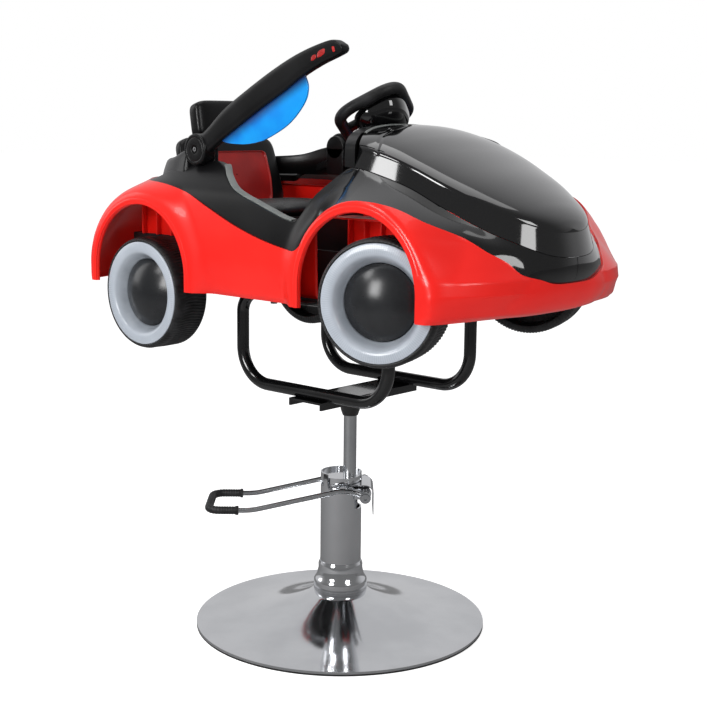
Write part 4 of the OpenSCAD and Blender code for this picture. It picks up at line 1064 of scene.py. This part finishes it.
def plated(name, colour, other, rough):
    """Polished plate with faint polishing lines round the post's axis."""
    paint = Paint(name)
    x, y, z = (paint.part(paint.place, axis) for axis in "XYZ")
    lines = paint.noise(1.0, 4, paint.node("CombineXYZ", {}, {0: x * 12, 1: y * 12, 2: z * 900}))
    smudge = paint.noise(9, 5)
    return paint.set(
        Base_Color=paint.mix(smudge.between(0.3, 0.7), colour, other),
        Roughness=rough + (smudge - 0.5) * 0.06 + (lines - 0.5) * 0.03,
        Metallic=1.0,
        Normal=paint.bump(lines, 0.03, 0.0003),
    )


def leather(name, colour, other):
    """Black vinyl with a pebbled grain and worn high spots."""
    paint = Paint(name)
    cells = paint.node("TexVoronoi", {"feature": "DISTANCE_TO_EDGE"},
                       {"Vector": paint.place, "Scale": 420.0}, "Distance")
    wear = paint.noise(30, 5)
    return paint.set(
        Base_Color=paint.mix(wear.between(0.45, 0.75), colour, other),
        Roughness=0.42 + (wear - 0.5) * 0.12,
        Normal=paint.bump(cells.between(0.0, 0.25), 0.35, 0.0006, paint.bump(wear, 0.2, 0.002)),
    )


def rubber(name, matrix=None, ribs=0):
    """Matt rubber; on a tyre, fine ribs run across the tread."""
    paint = Paint(name)
    dust = paint.noise(40, 5)
    height = paint.noise(700, 3)
    if matrix:
        where = paint.within(matrix)
        x, y = paint.part(where, "X"), paint.part(where, "Y")
        height = height * 0.2 + x.sum("SINE", x.sum("ARCTAN2", y, x) * ribs)
    return paint.set(
        Base_Color=paint.mix(dust.between(0.35, 0.7), tone(14, 14, 15), tone(34, 34, 36)),
        Roughness=0.5 + (dust - 0.5) * 0.2,
        Normal=paint.bump(height, 0.25, 0.0008),
    )


def ring_paint(name, matrix):
    """Pale moulded ring with fine rays, and painted shade that makes its inner slope darker."""
    paint = Paint(name)
    where = paint.within(matrix)
    x, y = paint.part(where, "X"), paint.part(where, "Y")
    radius = x.sum("SQRT", x * x + y * y)
    turn = x.sum("ARCTAN2", y, x)
    rays = (turn * 150).wave() * radius.between(0.084, 0.090) * (1 - radius.between(0.100, 0.103))
    blotch = paint.noise(16, 4)
    # Painted shade: the ring turns darker on its inner slope, where it dips into the cap's recess
    colour = paint.mix(radius.between(0.068, 0.090), tone(132, 138, 146), tone(168, 175, 184))
    colour = paint.mix(rays * 0.35, colour, tone(126, 133, 142))
    return paint.set(
        Base_Color=paint.mix(blotch.between(0.35, 0.7) * 0.4, colour, tone(182, 189, 198)),
        Roughness=0.3 + (blotch - 0.5) * 0.1,
        Coat_Weight=0.3,
        Normal=paint.bump(rays, 0.08, 0.0004),
    )


def glass_blue(name, matrix):
    """Tinted blue window: the arm's shadow is painted on as navy just under the arm, with bright blue
    below.
    """
    paint = Paint(name)
    where = paint.within(matrix)
    x, z = paint.part(where, "X"), paint.part(where, "Z")
    reach = x.between(0.07, 0.30)
    # Painted shadow of the arm: this mask turns the pane navy just below the arm's lower edge
    depth = (reach * 0.004 - z).between(0.006, 0.034)
    haze = paint.noise(12, 3)
    bright = paint.mix(reach, tone(0, 96, 205), tone(0, 140, 226))
    bright = paint.mix(haze.between(0.35, 0.7), bright, tone(6, 150, 230))
    return paint.set(
        # The painted arm shadow darkens the blue here
        Base_Color=paint.mix(depth, tone(3, 12, 60), bright),
        Roughness=0.22 + (haze - 0.5) * 0.06,
        Coat_Weight=0.3,
        Normal=paint.bump(haze, 0.02, 0.001),
    )


def coat_all(obj, material):
    obj.data.materials.clear()
    obj.data.materials.append(material)
    for face in obj.data.polygons:
        face.material_index = 0


def polish(obj):
    """Rounds the shading of a carried-over solid without touching its mesh."""
    pick(obj)
    bpy.ops.object.shade_smooth()
    obj.modifiers.new("weld", "WELD").merge_threshold = MERGE
    split = obj.modifiers.new("split", "EDGE_SPLIT")
    split.split_angle = radians(32)


RED = finish("red_plastic", (228, 24, 16), (236, 30, 20), 0.30, 0.05, 6, 700, 0.03, coat=0.25,
             spec=0.35)
BLACK = finish("black_plastic", (11, 11, 12), (18, 18, 19), 0.30, 0.08, 9, 1400, 0.06, spec=0.28)
CAP = finish("cap_plastic", (28, 29, 31), (36, 37, 39), 0.24, 0.06, 12, 900, 0.04, spec=0.45)
GLOSS = finish("black_gloss", (9, 9, 10), (14, 14, 15), 0.08, 0.04, 5, 500, 0.02, coat=0.9)
GREY = finish("grey_trim", (104, 108, 106), (120, 123, 121), 0.45, 0.08, 30, 1200, 0.1)
POWDER = finish("black_enamel", (9, 9, 10), (16, 16, 17), 0.16, 0.05, 20, 900, 0.08, coat=0.5)
PAN = finish("pan_plastic", (15, 15, 16), (24, 24, 25), 0.5, 0.12, 14, 1000, 0.15)
DEEP_RED = finish("insert_red", (150, 12, 10), (176, 18, 14), 0.34, 0.08, 12, 600, 0.05, coat=0.2)
CHROME = plated("chrome_plate", (0.74, 0.75, 0.77, 1), (0.66, 0.67, 0.69, 1), 0.10)
STEEL = plated("bright_steel", (0.60, 0.61, 0.62, 1), (0.50, 0.51, 0.53, 1), 0.20)
DARK_STEEL = plated("machined_steel", (0.30, 0.30, 0.31, 1), (0.38, 0.38, 0.39, 1), 0.34)
VINYL = leather("vinyl", tone(22, 22, 23), tone(40, 40, 41))
RUBBER = rubber("grip_rubber")

CAD_PAINT = {
    CHROME: ("base_disc", "column_collar", "pump_tube", "pump_head", "guard_plate", "pump_cap"),
    STEEL: ("piston_rod", "pedal_bolts"),
    DARK_STEEL: ("base_socket", "pump_cylinder", "plunger", "pump_fork", "pedal_shaft", "steering_shaft",
                 "tie_rod", "knuckle_right", "knuckle_left", "rear_axle", "frame_bolts"),
    RUBBER: ("base_ring",),
    POWDER: ("swivel_socket", "mount_plate", "cross_plate", "frame_loop_right", "frame_loop_left",
             "front_axle"),
    PAN: ("floor_pan", "seat_base"),
    BLACK: ("dash",),
    GREY: ("horn_button",),
}
for material, names in CAD_PAINT.items():
    for name in names:
        coat_all(nodes[name], material)
        polish(nodes[name])


def dress(piece, material, body):
    """Gives a piece its material and the body that it rides on."""
    coat_all(piece, material)
    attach(piece, body)


# The car
dress(make_red_shell(), RED, "car")
dress(make_black_shell(), shell_paint(), "car")
dress(make_deck(), BLACK, "car")
hood, cowl = make_hood()
dress(hood, GLOSS, "car")
dress(cowl, GREY, "car")
back, rest, insert, cushion = make_seat()
dress(back, BLACK, "car")
dress(rest, BLACK, "car")
dress(insert, DEEP_RED, "car")
dress(cushion, VINYL, "car")
dress(make_liner(), RED, "car")
strips = join("sill_covers", make_trim(-1), make_trim(1))
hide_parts("sill_trims")
dress(strips, GREY, "car")

# Steering, wheels and arms
wheel, shell, pod = make_steering()
dress(wheel, RUBBER, "steering")
dress(shell, GLOSS, "steering")
dress(pod, BLACK, "car")
for front in (True, False):
    for side in (-1, 1):
        name = ("front" if front else "rear") + ("_right" if side < 0 else "_left")
        place = wheel_frame(front, side)
        tyre, ring, cap = make_wheel(name, front, side)
        dress(tyre, rubber("tyre_rubber_" + name, place, 90), "wheel_" + name)
        dress(ring, ring_paint("ring_paint_" + name, place), "wheel_" + name)
        dress(cap, CAP, "wheel_" + name)
for name, side, turn in (("right", -1, 26.5), ("left", 1, 0)):
    arm, screw, window, marks = make_arm(name, side, turn)
    dress(arm, BLACK, "door_" + name)
    dress(screw, DARK_STEEL, "door_" + name)
    dress(window, glass_blue("window_blue_" + name, hub_frame(side, turn)), "door_" + name)
    dress(marks, DEEP_RED, "door_" + name)

# Pedal
lever, sleeve = make_pedal()
dress(lever, STEEL, "pedal")
dress(sleeve, RUBBER, "pedal")


# Floor, light and camera
def make_floor():
    """A white floor that is darker where it is mirrored."""
    bpy.ops.mesh.primitive_plane_add(size=60)
    floor = bpy.context.object
    floor.name = "floor"
    paint = Paint("floor_white")
    white = paint.mix(paint.noise(3), grey(0.86), grey(0.88))
    floor.data.materials.append(paint.set(
        Base_Color=paint.mix(paint.ray("Glossy"), white, grey(0.28)),
        Roughness=0.9, Specular_IOR_Level=0.1,
        Emission_Color=paint.mix(paint.ray("Camera"), grey(0), grey(0.66)), Emission_Strength=1.0,
    ))


def make_world():
    """White where it is seen; mirrored, a pale backdrop behind the object and a dim room before it."""
    world = bpy.data.worlds.new("studio")
    world.use_nodes = True
    bpy.context.scene.world = world
    world.node_tree.nodes.clear()
    sky = Nodes(world.node_tree)
    behind = sky.node("VectorMath", {"operation": "DOT_PRODUCT"}, {
        0: sky.node("TexCoord", output="Generated"), 1: (-0.675, 0.738, 0.15)}, "Value")
    backdrop = sky.mix(behind.between(-0.2, 0.6), grey(0.20), (0.62, 0.62, 0.63, 1))
    lit = sky.mix(sky.ray("Glossy"), (0.5, 0.5, 0.505, 1), backdrop)
    seen = behind.sum("MAXIMUM", sky.ray("Camera"), sky.ray("Transmission"))
    shown = sky.node("Background", {}, {"Color": sky.mix(seen, lit, grey(1)), "Strength": 1.0})
    sky.feed(sky.tree.nodes.new("ShaderNodeOutputWorld").inputs["Surface"], shown)


def lamp(name, where, width, height, power):
    """A soft box that looks at the middle of the object."""
    bpy.ops.object.light_add(type="AREA", location=where)
    light = bpy.context.object
    light.name = name
    light.data.shape = "RECTANGLE"
    light.data.size, light.data.size_y = width, height
    light.data.energy = power
    ahead = Vector((0, 0, 0.75)) - light.location
    light.rotation_euler = ahead.to_track_quat("-Z", "Y").to_euler()


def make_camera():
    turn, distance, rise = radians(PUMP_TURN), 2.74466, 1.0429
    pan, tilt, roll = radians(-0.476), radians(9.79), radians(0.588)
    eye = Vector((distance * sin(turn), -distance * cos(turn), rise))
    yaw = atan2(-eye.y, -eye.x) + pan
    ahead = Vector((cos(yaw) * cos(tilt), sin(yaw) * cos(tilt), -sin(tilt)))
    right = Vector((sin(yaw), -cos(yaw), 0))
    up = right.cross(ahead)
    right, up = right * cos(roll) + up * sin(roll), up * cos(roll) - right * sin(roll)
    data = bpy.data.cameras.new("camera")
    sensor, focal_pixels, picture_pixels = 36, 1366.5, 707
    data.sensor_width, data.lens = sensor, focal_pixels / picture_pixels * sensor
    data.clip_end = 100
    camera = bpy.data.objects.new("camera", data)
    bpy.context.scene.collection.objects.link(camera)
    camera.matrix_world = Matrix.Translation(eye) @ Matrix((right, up, -ahead)).transposed().to_4x4()
    bpy.context.scene.camera = camera


make_floor()
make_world()
lamp("key_box", (0.05, -2.6, 1.45), 0.75, 1.0, 34)
lamp("hood_box", (-0.70, -2.0, 2.14), 0.5, 0.6, 9)
lamp("side_box", (3.2, -0.6, 2.2), 0.9, 1.3, 24)
lamp("top_box", (0.0, 0.0, 3.4), 2.4, 2.0, 22)
lamp("left_box", (-3.0, -1.4, 1.8), 1.2, 1.8, 10)
make_camera()
bpy.context.scene.view_settings.view_transform = "Standard"
